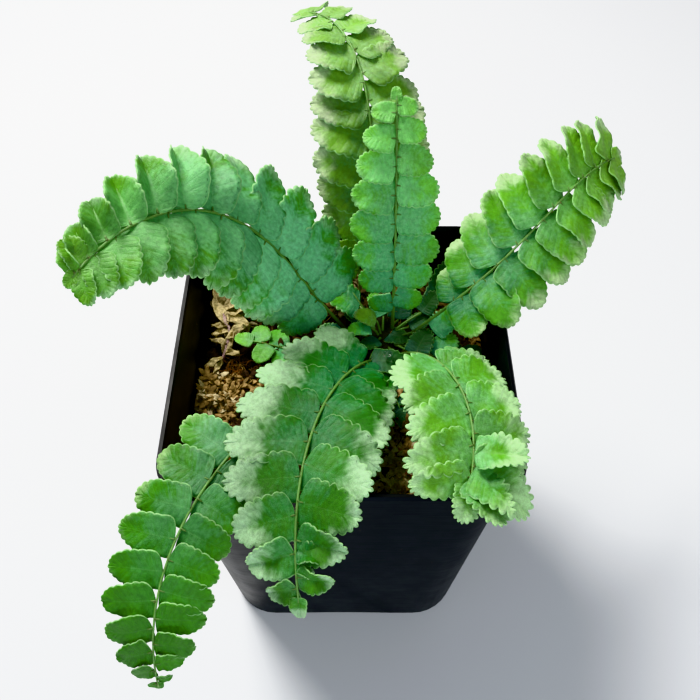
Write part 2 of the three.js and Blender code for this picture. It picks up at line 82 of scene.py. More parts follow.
def addLights(values):
    world = bpy.data.worlds.new("studio")
    bpy.context.scene.world = world
    world.use_nodes = True
    background = world.node_tree.nodes["Background"]
    background.inputs["Color"].default_value = (*values["sky"]["colour"], 1)
    background.inputs["Strength"].default_value = values["sky"]["strength"]
    for name, one in values["lamps"].items():
        lamp = bpy.data.lights.new(name, "AREA")
        lamp.shape = "DISK"
        lamp.size = one["size"] * mm
        lamp.energy = one["power"]
        lamp.color = one["colour"]
        body = bpy.data.objects.new(name, lamp)
        body.location = Vector(one["at"]) * mm
        aim = Vector((0, 0, 90)) * mm - body.location
        body.rotation_euler = aim.to_track_quat("-Z", "Y").to_euler()
        bpy.context.scene.collection.objects.link(body)


addCamera(cameraSet)
addLights(lightSet)
bpy.context.scene.view_settings.view_transform = "Khronos PBR Neutral"
print("camera and lights placed")

# Helpers for materials.


def colour(red, green, blue):
    def linear(value):
        share = value / 255
        return share / 12.92 if share <= 0.04045 else ((share + 0.055) / 1.055) ** 2.4

    return (linear(red), linear(green), linear(blue), 1.0)


def addNode(tree, kind, links=None, **settings):
    node = tree.nodes.new(kind)
    for key, value in settings.items():
        setattr(node, key, value)
    for socket, value in (links or {}).items():
        if isinstance(value, bpy.types.NodeSocket):
            tree.links.new(value, node.inputs[socket])
        else:
            node.inputs[socket].default_value = value
    return node


def calculate(tree, operation, *values):
    return addNode(tree, "ShaderNodeMath", dict(enumerate(values)), operation=operation).outputs[0]


def times(tree, *values):
    made = values[0]
    for value in values[1:]:
        made = calculate(tree, "MULTIPLY", made, value)
    return made


def plus(tree, *values):
    made = values[0]
    for value in values[1:]:
        made = calculate(tree, "ADD", made, value)
    return made


def remap(tree, value, low, high, toLow=0.0, toHigh=1.0):
    links = {"Value": value, "From Min": low, "From Max": high, "To Min": toLow, "To Max": toHigh}
    return addNode(tree, "ShaderNodeMapRange", links, interpolation_type="SMOOTHSTEP").outputs["Result"]


def blendColour(tree, share, first, second, mode="MIX"):
    links = {0: share, 6: first, 7: second}  # the factor and the two colours
    node = addNode(tree, "ShaderNodeMix", links, data_type="RGBA", blend_type=mode, clamp_factor=True)
    return node.outputs[2]


def greyOf(tree, value):
    return addNode(tree, "ShaderNodeCombineXYZ", {0: value, 1: value, 2: value}).outputs[0]


def newGroup(name, inputs, outputs):
    tree = bpy.data.node_groups.new(name, "ShaderNodeTree")
    for label, kind, value in inputs:
        socket = tree.interface.new_socket(label, in_out="INPUT", socket_type="NodeSocket" + kind)
        socket.default_value = value
    for label, kind in outputs:
        tree.interface.new_socket(label, in_out="OUTPUT", socket_type="NodeSocket" + kind)
    return tree, tree.nodes.new("NodeGroupInput").outputs, tree.nodes.new("NodeGroupOutput").inputs


def useGroup(tree, group, **values):
    return addNode(tree, "ShaderNodeGroup", values, node_tree=group).outputs


def newMaterial(name, **constants):
    material = bpy.data.materials.new(name)
    material.use_nodes = True
    shader = material.node_tree.nodes["Principled BSDF"]
    for label, value in constants.items():
        shader.inputs[label.replace("_", " ")].default_value = value
    return material, material.node_tree, shader.inputs


def joinBump(tree, shader, height, distance):  # the distance is in millimetres
    links = {"Height": height, "Distance": distance * mm, "Strength": 1.0}
    tree.links.new(addNode(tree, "ShaderNodeBump", links).outputs["Normal"], shader["Normal"])


def joinRoughness(tree, shader, grain, low, high):
    tree.links.new(remap(tree, grain, 0.0, 1.0, low, high), shader["Roughness"])


# Patterns that several finishes share.

mottleSet = {"blotchDetail": 2.0, "grainDetail": 5.0, "grainFiner": 6.0}


def mottleGroup(values):  # soft blotches and fine grain, both 0 to 1
    inputs = [("Size", "Float", 100.0), ("Stretch", "Vector", (1, 1, 1))]
    tree, given, out = newGroup("mottle", inputs, [("Blotch", "Float"), ("Grain", "Float")])
    stretch = {0: addNode(tree, "ShaderNodeTexCoord").outputs["Object"], 1: given["Stretch"]}
    place = addNode(tree, "ShaderNodeVectorMath", stretch, operation="MULTIPLY").outputs[0]
    finer = times(tree, given["Size"], values["grainFiner"])
    for label, size, detail, low, high in (
        ("Blotch", given["Size"], values["blotchDetail"], 0.3, 0.7),
        ("Grain", finer, values["grainDetail"], 0.25, 0.75),
    ):
        cloud = addNode(tree, "ShaderNodeTexNoise", {"Vector": place, "Scale": size, "Detail": detail})
        tree.links.new(remap(tree, cloud.outputs["Fac"], low, high), out[label])
    return tree


def speckGroup():  # scattered round specks
    inputs = [("Size", "Float", 400.0), ("Amount", "Float", 0.2), ("Edge", "Float", 0.12)]
    tree, given, out = newGroup("specks", inputs, [("Mask", "Float")])
    place = addNode(tree, "ShaderNodeTexCoord").outputs["Object"]
    cells = addNode(tree, "ShaderNodeTexVoronoi", {"Vector": place, "Scale": given["Size"]})
    picked = addNode(tree, "ShaderNodeSeparateColor", {"Color": cells.outputs["Color"]}).outputs["Red"]
    chosen = calculate(tree, "LESS_THAN", picked, given["Amount"])
    near = remap(tree, cells.outputs["Distance"], given["Edge"], 0.02)
    tree.links.new(times(tree, chosen, near), out["Mask"])
    return tree


mottle = mottleGroup(mottleSet)
specks = speckGroup()


# A finish of two tones in soft blotches.
def mottledMaterial(name, tones, size, rough, specular, relief=0, stretch=(1, 1, 1)):
    material, tree, shader = newMaterial(name, Specular_IOR_Level=specular)
    coat = useGroup(tree, mottle, Size=size, Stretch=stretch)
    tree.links.new(blendColour(tree, coat["Blotch"], *tones), shader["Base Color"])
    joinRoughness(tree, shader, coat["Grain"], *rough)
    if relief:
        joinBump(tree, shader, coat["Grain"], relief)
    return material


# Finishes of the leaflets, midribs and hairs. Shares across a leaflet run from its midline to its edge.

leafFinish = {
    "blue": colour(74, 148, 98),
    "bloom": colour(124, 176, 138),
    "vivid": colour(58, 138, 24),
    "pale": colour(160, 206, 146),
    "aged": colour(134, 172, 44),
    "edge": colour(160, 212, 140),
    "under": colour(112, 156, 86),
    "shadeVein": colour(34, 96, 44),
    "speck": colour(24, 52, 22),
    "teeth": 10,
    "forkBand": (0.35, 0.6),
    "streaks": (26.0, 1.4),  # how often they change along a leaflet and across it
    "paleStart": 1.02,
    "paleSoft": 0.4,
    "paleShare": 0.92,
    "agedShare": 0.9,
    "rimBand": (0.945, 0.985),
    "rimShare": 0.65,
    "midBand": (0.01, 0.05),
    "midShare": 0.07,
    "speckRow": 0.88,
    "speckSize": (0.012, 0.02),
    "speckShare": 0.7,
    "darkest": 0.64,
    "blotchSize": 170.0,
    "bloomSize": 900.0,
    "roughness": 0.4,
    "veinDepth": 0.02,
    "quiltDepth": 0.06,
    "grainDepth": 0.05,
}


def leafGroup(values):  # colour, relief and paleness of a leaflet, from its own map and marks
    inputs = [(name, "Color", values[name.lower()]) for name in ("Blue", "Vivid", "Pale", "Aged")]
    inputs += [("Reach", "Float", 0.6), ("Dust", "Float", 0.6)]
    outputs = [("Color", "Color"), ("Veins", "Float"), ("Quilt", "Float"), ("Paleness", "Float")]
    tree, given, out = newGroup("leafBlade", inputs, outputs)
    leafMap = addNode(tree, "ShaderNodeUVMap", uv_map="leafMap").outputs["UV"]
    mapped = addNode(tree, "ShaderNodeSeparateXYZ", {0: leafMap}).outputs
    marks = addNode(tree, "ShaderNodeAttribute", attribute_name="leafMarks").outputs
    mark = addNode(tree, "ShaderNodeSeparateColor", {0: marks["Color"]}).outputs
    along, paleMark, ownMark, agedMark = mark["Red"], mark["Green"], mark["Blue"], marks["Alpha"]
    soft = useGroup(tree, mottle, Size=values["blotchSize"])
    blotch = calculate(tree, "SUBTRACT", soft["Blotch"], 0.5)
    grain = calculate(tree, "SUBTRACT", soft["Grain"], 0.5)

    # Veins run out to the teeth and fork on the way.
    row = plus(tree, mapped["X"], times(tree, grain, 0.012))
    toEdge = calculate(tree, "ABSOLUTE", calculate(tree, "MULTIPLY_ADD", mapped["Y"], 2.0, -1.0))
    turns = times(tree, row, values["teeth"] * math.pi)
    swell = calculate(tree, "ABSOLUTE", calculate(tree, "SINE", turns))
    forkSwell = calculate(tree, "ABSOLUTE", calculate(tree, "SINE", times(tree, turns, 2.0)))
    forks = remap(tree, forkSwell, 0.0, 0.3, 1.0, 0.0)
    forks = times(tree, forks, remap(tree, toEdge, *values["forkBand"]))
    veins = calculate(tree, "MAXIMUM", remap(tree, swell, 0.0, 0.2, 1.0, 0.0), forks)

    # Streaks lie along the veins.
    often, across = values["streaks"]
    place = {0: times(tree, row, often), 1: times(tree, toEdge, across), 2: times(tree, ownMark, 40.0)}
    place = addNode(tree, "ShaderNodeCombineXYZ", place).outputs[0]
    streak = addNode(tree, "ShaderNodeTexNoise", {"Vector": place, "Scale": 1.0, "Detail": 3.0})
    streak = calculate(tree, "SUBTRACT", streak.outputs["Fac"], 0.5)

    # Paleness comes in from the leaflet's end.
    reach = calculate(tree, "MULTIPLY_ADD", toEdge, 0.16, along)
    reach = plus(tree, reach, times(tree, streak, 0.26), times(tree, blotch, 0.28))
    start = calculate(tree, "SUBTRACT", values["paleStart"], times(tree, paleMark, 0.5))
    paleness = remap(tree, reach, start, plus(tree, start, values["paleSoft"]))
    paleness = times(tree, paleness, remap(tree, paleMark, 0.02, 0.35))

    # Bluish and bloomed by the midrib, vivid further out.
    inner = calculate(tree, "SUBTRACT", given["Reach"], along)
    inner = plus(tree, inner, times(tree, blotch, 0.5), times(tree, streak, 0.9), times(tree, grain, 0.22))
    inner = remap(tree, inner, -0.2, 0.55)
    base = blendColour(tree, inner, given["Vivid"], given["Blue"])
    bloom = useGroup(tree, mottle, Size=values["bloomSize"])
    dusted = times(tree, bloom["Blotch"], bloom["Grain"], inner, given["Dust"])
    base = blendColour(tree, dusted, base, values["bloom"])
    base = blendColour(tree, times(tree, agedMark, values["agedShare"]), base, given["Aged"])
    shade = times(tree, veins, remap(tree, along, 0.0, 0.3, 0.34, 0.08))
    base = blendColour(tree, shade, base, values["shadeVein"])
    pale = blendColour(tree, times(tree, veins, 0.15), given["Pale"], values["edge"])
    body = blendColour(tree, times(tree, paleness, values["paleShare"]), base, pale)

    # A row of dark specks near the edge, a pale rim and a faint midline.
    cell = calculate(tree, "FRACT", times(tree, row, values["teeth"] * 2.0))
    offCentre = times(tree, calculate(tree, "SUBTRACT", cell, 0.5), 0.09)
    offEdge = calculate(tree, "SUBTRACT", toEdge, values["speckRow"])
    apart = plus(tree, times(tree, offCentre, offCentre), times(tree, offEdge, offEdge))
    dot = remap(tree, calculate(tree, "SQRT", apart), *values["speckSize"], 1.0, 0.0)
    dot = times(tree, dot, remap(tree, streak, 0.0, 0.05), values["speckShare"])
    body = blendColour(tree, dot, body, values["speck"])
    rim = times(tree, remap(tree, toEdge, *values["rimBand"]), values["rimShare"])
    body = blendColour(tree, rim, body, values["edge"])
    midline = times(tree, remap(tree, toEdge, *values["midBand"], 1.0, 0.0), values["midShare"])
    body = blendColour(tree, midline, body, values["edge"])

    # Each leaflet has its own brightness.
    lift = calculate(tree, "MULTIPLY_ADD", ownMark, 0.26, values["darkest"])
    lift = plus(tree, lift, times(tree, grain, 0.34), times(tree, bloom["Grain"], 0.36))
    body = blendColour(tree, 1.0, body, greyOf(tree, lift), "MULTIPLY")

    tree.links.new(body, out["Color"])
    tree.links.new(veins, out["Veins"])
    tree.links.new(times(tree, swell, remap(tree, toEdge, 0.05, 0.4)), out["Quilt"])
    tree.links.new(paleness, out["Paleness"])
    return tree


leafBlade = leafGroup(leafFinish)


def leafMaterial(name, values, **tones):
    constants = {"Specular_IOR_Level": 0.42, "Subsurface_Weight": 0.12, "Subsurface_Scale": 0.0012}
    material, tree, shader = newMaterial(name, **constants)
    shader["Subsurface Radius"].default_value = (0.5, 1.0, 0.25)
    made = useGroup(tree, leafBlade, **tones)
    tree.links.new(made["Color"], shader["Base Color"])
    fine = useGroup(tree, mottle, Size=values["bloomSize"])
    rough = calculate(tree, "MULTIPLY_ADD", fine["Grain"], 0.16, values["roughness"])
    tree.links.new(plus(tree, rough, times(tree, made["Paleness"], 0.08)), shader["Roughness"])
    height = times(tree, made["Quilt"], values["quiltDepth"])
    height = calculate(tree, "SUBTRACT", height, times(tree, made["Veins"], values["veinDepth"]))
    height = plus(tree, height, times(tree, fine["Grain"], values["grainDepth"]))
    joinBump(tree, shader, height, 1.0)
    return material


def undersideMaterial(values):
    constants = {"Specular_IOR_Level": 0.3, "Subsurface_Weight": 0.1, "Subsurface_Scale": 0.0012}
    material, tree, shader = newMaterial("leafUnderside", **constants)
    made = useGroup(tree, leafBlade, Blue=values["under"], Vivid=values["under"], Pale=values["pale"])
    tree.links.new(blendColour(tree, 0.55, made["Color"], values["under"]), shader["Base Color"])
    fine = useGroup(tree, mottle, Size=700.0)
    joinRoughness(tree, shader, fine["Grain"], 0.58, 0.74)
    joinBump(tree, shader, made["Veins"], 0.06)
    return material


ribFinish = {
    "green": colour(110, 158, 82),
    # the foot's own brown, darkened as painted shade where it leaves the crown
    "brown": colour(44, 62, 26),
    "joint": colour(60, 66, 34),
    "hair": colour(170, 146, 104),
}


def ribMaterial(values):  # brown at its foot, darkened there by painted shade at the crown, green further out and dark at the leaflets' joints
    constants = {"Specular_IOR_Level": 0.4, "Subsurface_Weight": 0.08, "Subsurface_Scale": 0.001}
    material, tree, shader = newMaterial("ribSkin", **constants)
    marks = addNode(tree, "ShaderNodeAttribute", attribute_name="leafMarks").outputs["Color"]
    mark = addNode(tree, "ShaderNodeSeparateColor", {0: marks}).outputs
    coat = useGroup(tree, mottle, Size=260.0, Stretch=(1, 1, 0.6))
    body = blendColour(tree, remap(tree, mark["Red"], 0.0, 0.2, 1.0, 0.0), values["green"], values["brown"])
    body = blendColour(tree, times(tree, coat["Blotch"], 0.35), body, values["joint"])
    body = blendColour(tree, mark["Green"], body, values["joint"])
    tree.links.new(body, shader["Base Color"])
    joinRoughness(tree, shader, coat["Grain"], 0.42, 0.62)
    joinBump(tree, shader, coat["Grain"], 0.08)
    return material


# Tone by the midrib, further out, at the pale edge and of aged leaflets, then how far the first one
# reaches and how much bloom is on it.
leafTones = {
    "front": ((34, 122, 64), (22, 110, 4), (170, 210, 160), (110, 160, 44), 0.42, 0.4),
    "left": ((120, 200, 144), (72, 150, 40), (150, 194, 140), (86, 142, 18), 0.9, 0.6),
    "right": ((66, 138, 88), (74, 148, 34), (176, 208, 150), (134, 192, 62), 0.55, 0.6),
    "corner": ((84, 156, 84), (74, 146, 26), (170, 212, 150), (132, 184, 66), 0.5, 0.6),
    "centre": ((96, 182, 122), (98, 184, 60), (160, 206, 146), (126, 198, 74), 0.75, 0.6),
    "deep": ((92, 148, 104), (56, 128, 6), (150, 190, 120), (52, 120, 0), 0.7, 0.3),
    "olive": ((92, 142, 56), (98, 152, 34), (166, 186, 142), (140, 184, 90), 0.6, 0.6),
    "young": ((66, 136, 78), (76, 152, 44), (176, 220, 130), (160, 206, 60), 0.5, 0.6),
    "shade": ((36, 88, 62), (24, 80, 18), (110, 160, 100), (90, 140, 50), 0.5, 0.2),
}


def leafKinds(kinds):
    made = {}
    for name, (*tones, reach, dust) in kinds.items():
        tones = dict(zip(("Blue", "Vivid", "Pale", "Aged"), [colour(*tone) for tone in tones]))
        made[name] = leafMaterial("leaf" + name.capitalize(), leafFinish, Reach=reach, Dust=dust, **tones)
    return made


leafMaterials = leafKinds(leafTones)
leafUnder = undersideMaterial(leafFinish)
ribSkin = ribMaterial(ribFinish)
# the hairs' darker blotches reuse the foot's brown, painted shade included
scaleHair = mottledMaterial("scaleHair", (ribFinish["hair"], ribFinish["brown"]), 600.0, (0.6, 0.8), 0.3)
print("leaf finishes ready")

# Helpers for meshes.


def appendTo(target, piece):  # one bmesh is joined to another, its layers too
    held = bpy.data.meshes.new("held")
    piece.to_mesh(held)
    piece.free()
    target.from_mesh(held)
    bpy.data.meshes.remove(held)


def finishPiece(bm, name, materials, replaced=()):
    mesh = bpy.data.meshes.new(name)
    bm.to_mesh(mesh)
    bm.free()
    for material in materials:
        mesh.materials.append(material)
    mesh.polygons.foreach_set("use_smooth", [True] * len(mesh.polygons))
    piece = bpy.data.objects.new(name, mesh)
    bpy.context.scene.collection.objects.link(piece)
    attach(piece, "root")
    if replaced:
        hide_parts(*replaced)
    return piece


def thicken(piece, thickness, undersideSlot=0):
    wall = piece.modifiers.new("wall", "SOLIDIFY")
    wall.thickness = thickness * mm
    wall.offset = 0
    wall.material_offset = undersideSlot


def sweepTube(bm, path, radii, sides, layer=None, markAt=None):  # a ring is extruded along the path
    place = None
    for i, point in enumerate(path):
        ahead = path[min(i + 1, len(path) - 1)] - path[max(i - 1, 0)]
        turn = ahead.to_track_quat("Z", "Y").to_matrix().to_4x4()
        turn = Matrix.Translation(point) @ turn @ Matrix.Diagonal((radii[i], radii[i], radii[i], 1))
        if place is None:
            ring = bmesh.ops.create_circle(bm, segments=sides, radius=1, cap_ends=True, matrix=turn)["verts"]
            bmesh.ops.reverse_faces(bm, faces=list({f for v in ring for f in v.link_faces}))
            edges = list({e for v in ring for e in v.link_edges})
        else:
            made = bmesh.ops.extrude_edge_only(bm, edges=edges)["geom"]
            ring = [g for g in made if isinstance(g, bmesh.types.BMVert)]
            held = set(ring)
            edges = [g for g in made if isinstance(g, bmesh.types.BMEdge) and held.issuperset(g.verts)]
            bmesh.ops.transform(bm, matrix=turn @ place.inverted(), verts=ring)
        if layer is not None:
            for vert in ring:
                vert[layer] = markAt(i / (len(path) - 1))
        place = turn
    bmesh.ops.contextual_create(bm, geom=edges)


def bristle(bm, foot, aim, length, radius, material):
    turn = aim.to_track_quat("Z", "Y").to_matrix().to_4x4()
    place = Matrix.Translation(foot + aim * (length / 2 - 0.1 * mm)) @ turn
    made = bmesh.ops.create_cone(
        bm, cap_ends=False, segments=3, radius1=radius, radius2=radius * 0.15, depth=length, matrix=place
    )
    for face in {f for v in made["verts"] for f in v.link_faces}:
        face.material_index = material


def towards(heading, pitch):  # a direction from its angles, in radians
    flat = math.cos(pitch)
    return Vector((flat * math.cos(heading), flat * math.sin(heading), math.sin(pitch)))


def stretched(vector, size):
    return Vector([vector[k] * size[k] for k in range(3)])


def between(values, share):  # from the first of three values to the last, pulled by the middle one
    rest = 1 - share
    return values[0] * rest * rest + 2 * values[1] * share * rest + values[2] * share * share


def lerp(first, second, share):
    return first + (second - first) * share


def ease(value, low, high):
    share = min(max((value - low) / (high - low), 0), 1)
    return share * share * (3 - 2 * share)


print("mesh helpers ready")

# Fronds. A leaflet's sheet has its rows along it and its columns across it.

bladeSet = {
    "rows": 64,
    "columns": 10,
    "thickness": 0.3,
    "teeth": 10,
    "toothDepth": 0.065,
    "footwardShare": 1.06,
    "tipwardShare": 0.98,
    "footwardBase": 0.17,
    "tipwardBase": 0.06,
    "droop": 0.1,
    "widest": 0.84,
    "stagger": (0.15, 0.5),
    "endAt": 0.985,
    "stalk": 0.25,
    "wave": 0.32,
    "jitter": 4.0,  # in degrees: how far a leaflet's swing strays, then its tilt, dip and fold
    "tiltJitter": 4,
    "dip": (-4, 5),
    "foldJitter": 3,
    "curl": (-0.15, 0.35),
    "blunt": (2.2, 2.7),
    "cup": (-0.02, 0.08),
    "waves": (2.2, 3.4),
    "crumple": 0.5,
    "smallRows": 40,
    "smallLength": 7,
    "fullLength": 14,
    "narrowFrom": 0.36,  # the leaflet's half width falls from this share of its length
    "taper": 0.06,
    "rowLean": (0.5, 0.34),  # where a row leaves the midline, as a share of where it ends
    "toothCurve": (0.6, 0.75),
    "toothUneven": 0.8,
}

ribSet = {
    "footRadius": 0.52,
    "tipRadius": 0.24,
    "sides": 8,
    "samples": 60,
    "footHeight": 86,
    "sink": 1.5,
    "hairs": 70,
    "hairLength": 0.7,
    "hairRadius": 0.06,
    "stalkSteps": (0.1, 0.5, 0.9, 1.4),
    "stalkRadii": (0.34, 0.24, 0.26, 0.14),
    "stalkSides": 5,
    "jointHairs": 3,
    "jointHairLength": (0.5, 1.0),
    "jointHairRadius": 0.07,
}

# A frond shorter than "under" is a young one; the others are shares of a grown frond's values.
youngSet = {"under": 40, "thin": 0.7, "blade": 0.8, "hairs": 0.3, "samples": 24}

# Heading (0 is +X, 90 is +Y) and pitch in degrees: at the foot, the pull in the middle, and at the tip.
# A leaflet's four values: longest, share of it at the foot and at the tip, and where the longest is.
# A tuft's leaf: its share of the midrib, heading, pitch, length, width, fold, curl, paleness and age.
frondBase = {
    "roll": (0, 0), "overlap": 1.44, "crowd": 1, "fuller": 1, "sides": (1, 1), "swing": ((86, 66), (86, 66)),
    "tilt": 13, "pale": (0, 0), "paleSides": (1, 1), "creased": None, "tuft": (),
}

fronds = [
    {
        "name": "frond_left", "foot": (3.5, 16.9), "heading": (172, 230, 234), "pitch": (53, 102, -21),
        "length": 113.7, "roll": (84, 17), "first": 0.17, "pairs": 12, "leaflet": (19.1, 0.76, 0.33, 0.38),
        "overlap": 1.4, "crowd": 1.43, "sides": (0.95, 1.08), "sidesTip": (1.0, 0.95),
        "swing": ((110, 52), (88, 113)), "end": 4, "tooth": 1.1,
        "finish": "left", "pale": (0.45, 0.35), "fold": (3, 14), "aged": (0, 1),
        "creased": {"side": 1, "from": 0.5, "fold": 40, "narrow": 0.84},
        "tuft": ((0.97, 140, 34, 6.5, 5.5, 26, 0.3, 0.1, 1),),
    },
    {
        "name": "frond_back", "foot": (8, 24), "heading": (90, 76, 138), "pitch": (78, 76, -27),
        "length": 107, "roll": (-2, -2), "first": 0.3, "pairs": 10, "leaflet": (16.5, 0.8, 0.39, 0.3),
        "overlap": 1.6, "sides": (1.06, 0.98), "sidesTip": (0.84, 0.93), "tilt": 11, "end": 5.5,
        "tooth": 1.1, "finish": "olive", "pale": (0.95, 0.8), "fold": (4, 14), "aged": (0, 0.6),
    },
    {
        "name": "frond_centre", "foot": (14.5, 16), "heading": (95, 91, 92), "pitch": (89, 73, 50),
        "length": 73.7, "roll": (10, -4), "first": 0.2, "pairs": 8, "leaflet": (11.9, 0.55, 0.35, 0.42),
        "overlap": 1.5, "crowd": 1.2, "sides": (1.03, 1.05), "swing": ((102, 84), (111, 95)), "end": 3.4,
        "tooth": 0.9, "finish": "centre", "pale": (0.15, 0.25), "fold": (4, 6), "aged": (0, 0.8),
    },
    {
        "name": "frond_right", "foot": (16.7, 14.6), "heading": (-34, 71, 42), "pitch": (66, 30, -20),
        "length": 95.2, "roll": (2, -47), "first": 0.26, "pairs": 10, "leaflet": (17, 0.63, 0.62, 0.27),
        "overlap": 1.45, "fuller": 1.25, "crowd": 1.1, "sides": (0.93, 0.95), "sidesTip": (1.14, 1),
        "swing": ((76, 69), (117, 65)), "end": 7, "tooth": 0.7,
        "finish": "right", "pale": (0.5, 0.75), "fold": (3, 12), "aged": (0, 1),
    },
    {
        "name": "frond_front_right", "foot": (15.3, 10.3), "heading": (-53, -63, -105),
        "pitch": (55, 38, -26), "length": 69.5, "roll": (6, 19), "first": 0.38, "pairs": 5,
        "leaflet": (16.5, 0.95, 0.53, 0.85), "overlap": 1.3, "crowd": 1.2, "sides": (0.93, 1.04),
        "swing": ((79, 103), (72, 68)), "end": 9, "tooth": 1.9,
        "finish": "corner", "pale": (0.8, 1.0), "fold": (5, 8), "aged": (0.1, 0.4),
        "tuft": (
            (0.41, 8, -4, 14, 8.5, 6, 0.3, 0.8, 0.15),
            (0.94, -34, -8, 16, 12, 24, 0.5, 1.1, 0.15),
            (0.88, -10, 14, 12.5, 9, 32, 0.2, 1.1, 0.15),
            (0.96, -56, -14, 13, 10, 34, -0.6, 0.9, 0.15),
        ),
    },
    {
        "name": "frond_front", "foot": (12.5, 8.8), "heading": (-129, -109, -82), "pitch": (49, 25, -47),
        "length": 93, "roll": (31, -24), "first": 0.14, "pairs": 9, "leaflet": (18.8, 0.67, 0.28, 0.42),
        "overlap": 1.34, "crowd": 1.1, "sides": (1.0, 1.1), "sidesTip": (0.95, 1.08),
        "swing": ((75, 77), (82, 75)), "end": 5.5, "tooth": 1.6,
        "finish": "front", "pale": (1.1, 0.9), "fold": (4, 8), "aged": (0, 0.35),
        "paleSides": (0.78, 1.12), "creased": {"side": 0, "from": 0.72, "fold": 26, "narrow": 0.9},
        "tuft": (
            (0.88, -10, 6, 7, 5, 44, 1.3, 0.1, 0.15),
            (0.91, -24, -24, 5.5, 2.6, 40, 0.9, 0.9, 0.15),
        ),
    },
    {
        "name": "frond_front_left", "foot": (6.5, 11.2), "heading": (-120.6, -145.6, -81.7),
        "pitch": (30.4, 27, -67), "length": 121, "roll": (22, -1), "first": 0.47, "pairs": 10,
        "leaflet": (13.6, 1.13, 0.06, 0.57), "overlap": 1.3, "crowd": 1.3, "sides": (0.8, 0.96),
        "sidesTip": (1, 1.04), "swing": ((88, 88), (108, 67)), "end": 3, "tooth": 0.75,
        "finish": "deep", "pale": (0.35, 0.05), "fold": (4, 6), "aged": (0.3, 1.6),
    },
    {
        "name": "young_frond_left", "foot": (-9, 8), "heading": (176, 178, 170), "pitch": (50, 20, 5),
        "length": 19, "first": 0.45, "pairs": 2, "leaflet": (7, 1, 0.8, 0.5), "end": 5.6, "tooth": 0.6,
        "finish": "young", "fold": (8, 8), "aged": (0, 0.2),
    },
    {
        "name": "young_frond_front", "foot": (12.5, 3), "heading": (-85, -80, -70), "pitch": (52, 18, -8),
        "length": 17, "first": 0.35, "pairs": 2, "leaflet": (8, 1, 0.8, 0.5), "end": 6.4, "tooth": 0.6,
        "finish": "shade", "fold": (6, 6), "aged": (0, 0),
    },
    {
        "name": "young_frond_right", "foot": (20.5, 5.5), "heading": (-5, 5, 15), "pitch": (45, 20, 0),
        "length": 16, "first": 0.4, "pairs": 2, "leaflet": (7, 1, 0.8, 0.5), "end": 5.6, "tooth": 0.8,
        "finish": "shade", "fold": (8, 8), "aged": (0, 0),
    },
    {
        "name": "young_frond_back", "foot": (5.2, 30), "heading": (100, 95, 110), "pitch": (78, 74, 50),
        "length": 32, "first": 0.35, "pairs": 3, "leaflet": (7, 0.9, 0.7, 0.5), "end": 5, "tooth": 0.9,
        "finish": "young", "pale": (0.2, 0.4), "fold": (10, 14), "aged": (0.5, 0.9),
    },
]


def ribDirection(frond, share):
    heading = math.radians(between(frond["heading"], share))
    pitch = math.radians(between(frond["pitch"], share))
    return towards(heading, pitch)


def walkRib(frond):  # the midrib's points, in millimetres
    points = [Vector((*frond["foot"], ribSet["footHeight"]))]
    samples = ribSet["samples"]
    for i in range(samples):
        points.append(points[-1] + ribDirection(frond, (i + 0.5) / samples) * frond["length"] / samples)
    return points


def ribPlace(frond, points, share):  # point, along, side and up on the midrib
    held = min(max(share, 0), 1)
    at = held * ribSet["samples"]
    low = min(int(at), ribSet["samples"] - 1)
    point = points[low].lerp(points[low + 1], at - low)
    along = ribDirection(frond, held)
    heading = math.radians(between(frond["heading"], share))
    side = Vector((math.sin(heading), -math.cos(heading), 0))
    side = Matrix.Rotation(-math.radians(lerp(*frond["roll"], share)), 3, along) @ side
    return point, along, side, side.cross(along)


def leafletShare(leaflet, place):  # length of the leaflets along a frond, as a share of the longest
    longest, footShare, tipShare, longestAt = leaflet
    if place < longestAt:
        return footShare + (1 - footShare) * math.sin(math.pi / 2 * max(place, 0) / longestAt)
    past = min((place - longestAt) / (1 - longestAt), 0.9999)
    return tipShare + (1 - tipShare) * math.cos(math.pi / 2 * past) ** 0.8


def roundedOblong(share, base, blunt):  # half width along a leaflet, as a share of the widest
    rise = min(max(share, 0) / base, 1)
    fall = max(share - bladeSet["narrowFrom"], 0) / (1 - bladeSet["narrowFrom"])
    half = math.sqrt(max(1 - (1 - rise) ** 2, 0)) * math.sqrt(max(1 - fall ** blunt, 0))
    return half * (1 - bladeSet["taper"] * share)


def leafOutline(row, side, shape):  # a point of the leaflet's edge, waved by rounded teeth
    tipward = side == shape["tipwardSide"]
    base = bladeSet["tipwardBase" if tipward else "footwardBase"]
    wide = bladeSet["tipwardShare" if tipward else "footwardShare"]

    def smooth(value):
        share = (1 - math.cos(math.pi * value)) / 2
        half = wide * roundedOblong(share, base, shape["blunt"]) * shape["width"] / 2
        return Vector((share * shape["length"], half))

    here = smooth(row)
    step = smooth(min(row + 0.01, 1)) - smooth(max(row - 0.01, 0))
    outward = Vector((-step.y, step.x)).normalized() if row < 0.995 else Vector((1, 0))
    uneven = noise.noise(Vector((row * 7, side * 3, shape["phase"] * 5)))
    phase = (row * bladeSet["teeth"] + 0.5 + 0.25 * uneven * min((1 - row) * 6, 1)) % 1
    roundness, middle = bladeSet["toothCurve"]
    tooth = math.sin(math.pi * phase) ** roundness - middle
    depth = bladeSet["toothDepth"] * shape["tooth"] * shape["width"]
    depth = depth * ease(row, 0.1, 0.5) * (1 + bladeSet["toothUneven"] * uneven)
    here += outward * tooth * depth
    return Vector((here.x, side * max(here.y, 0)))


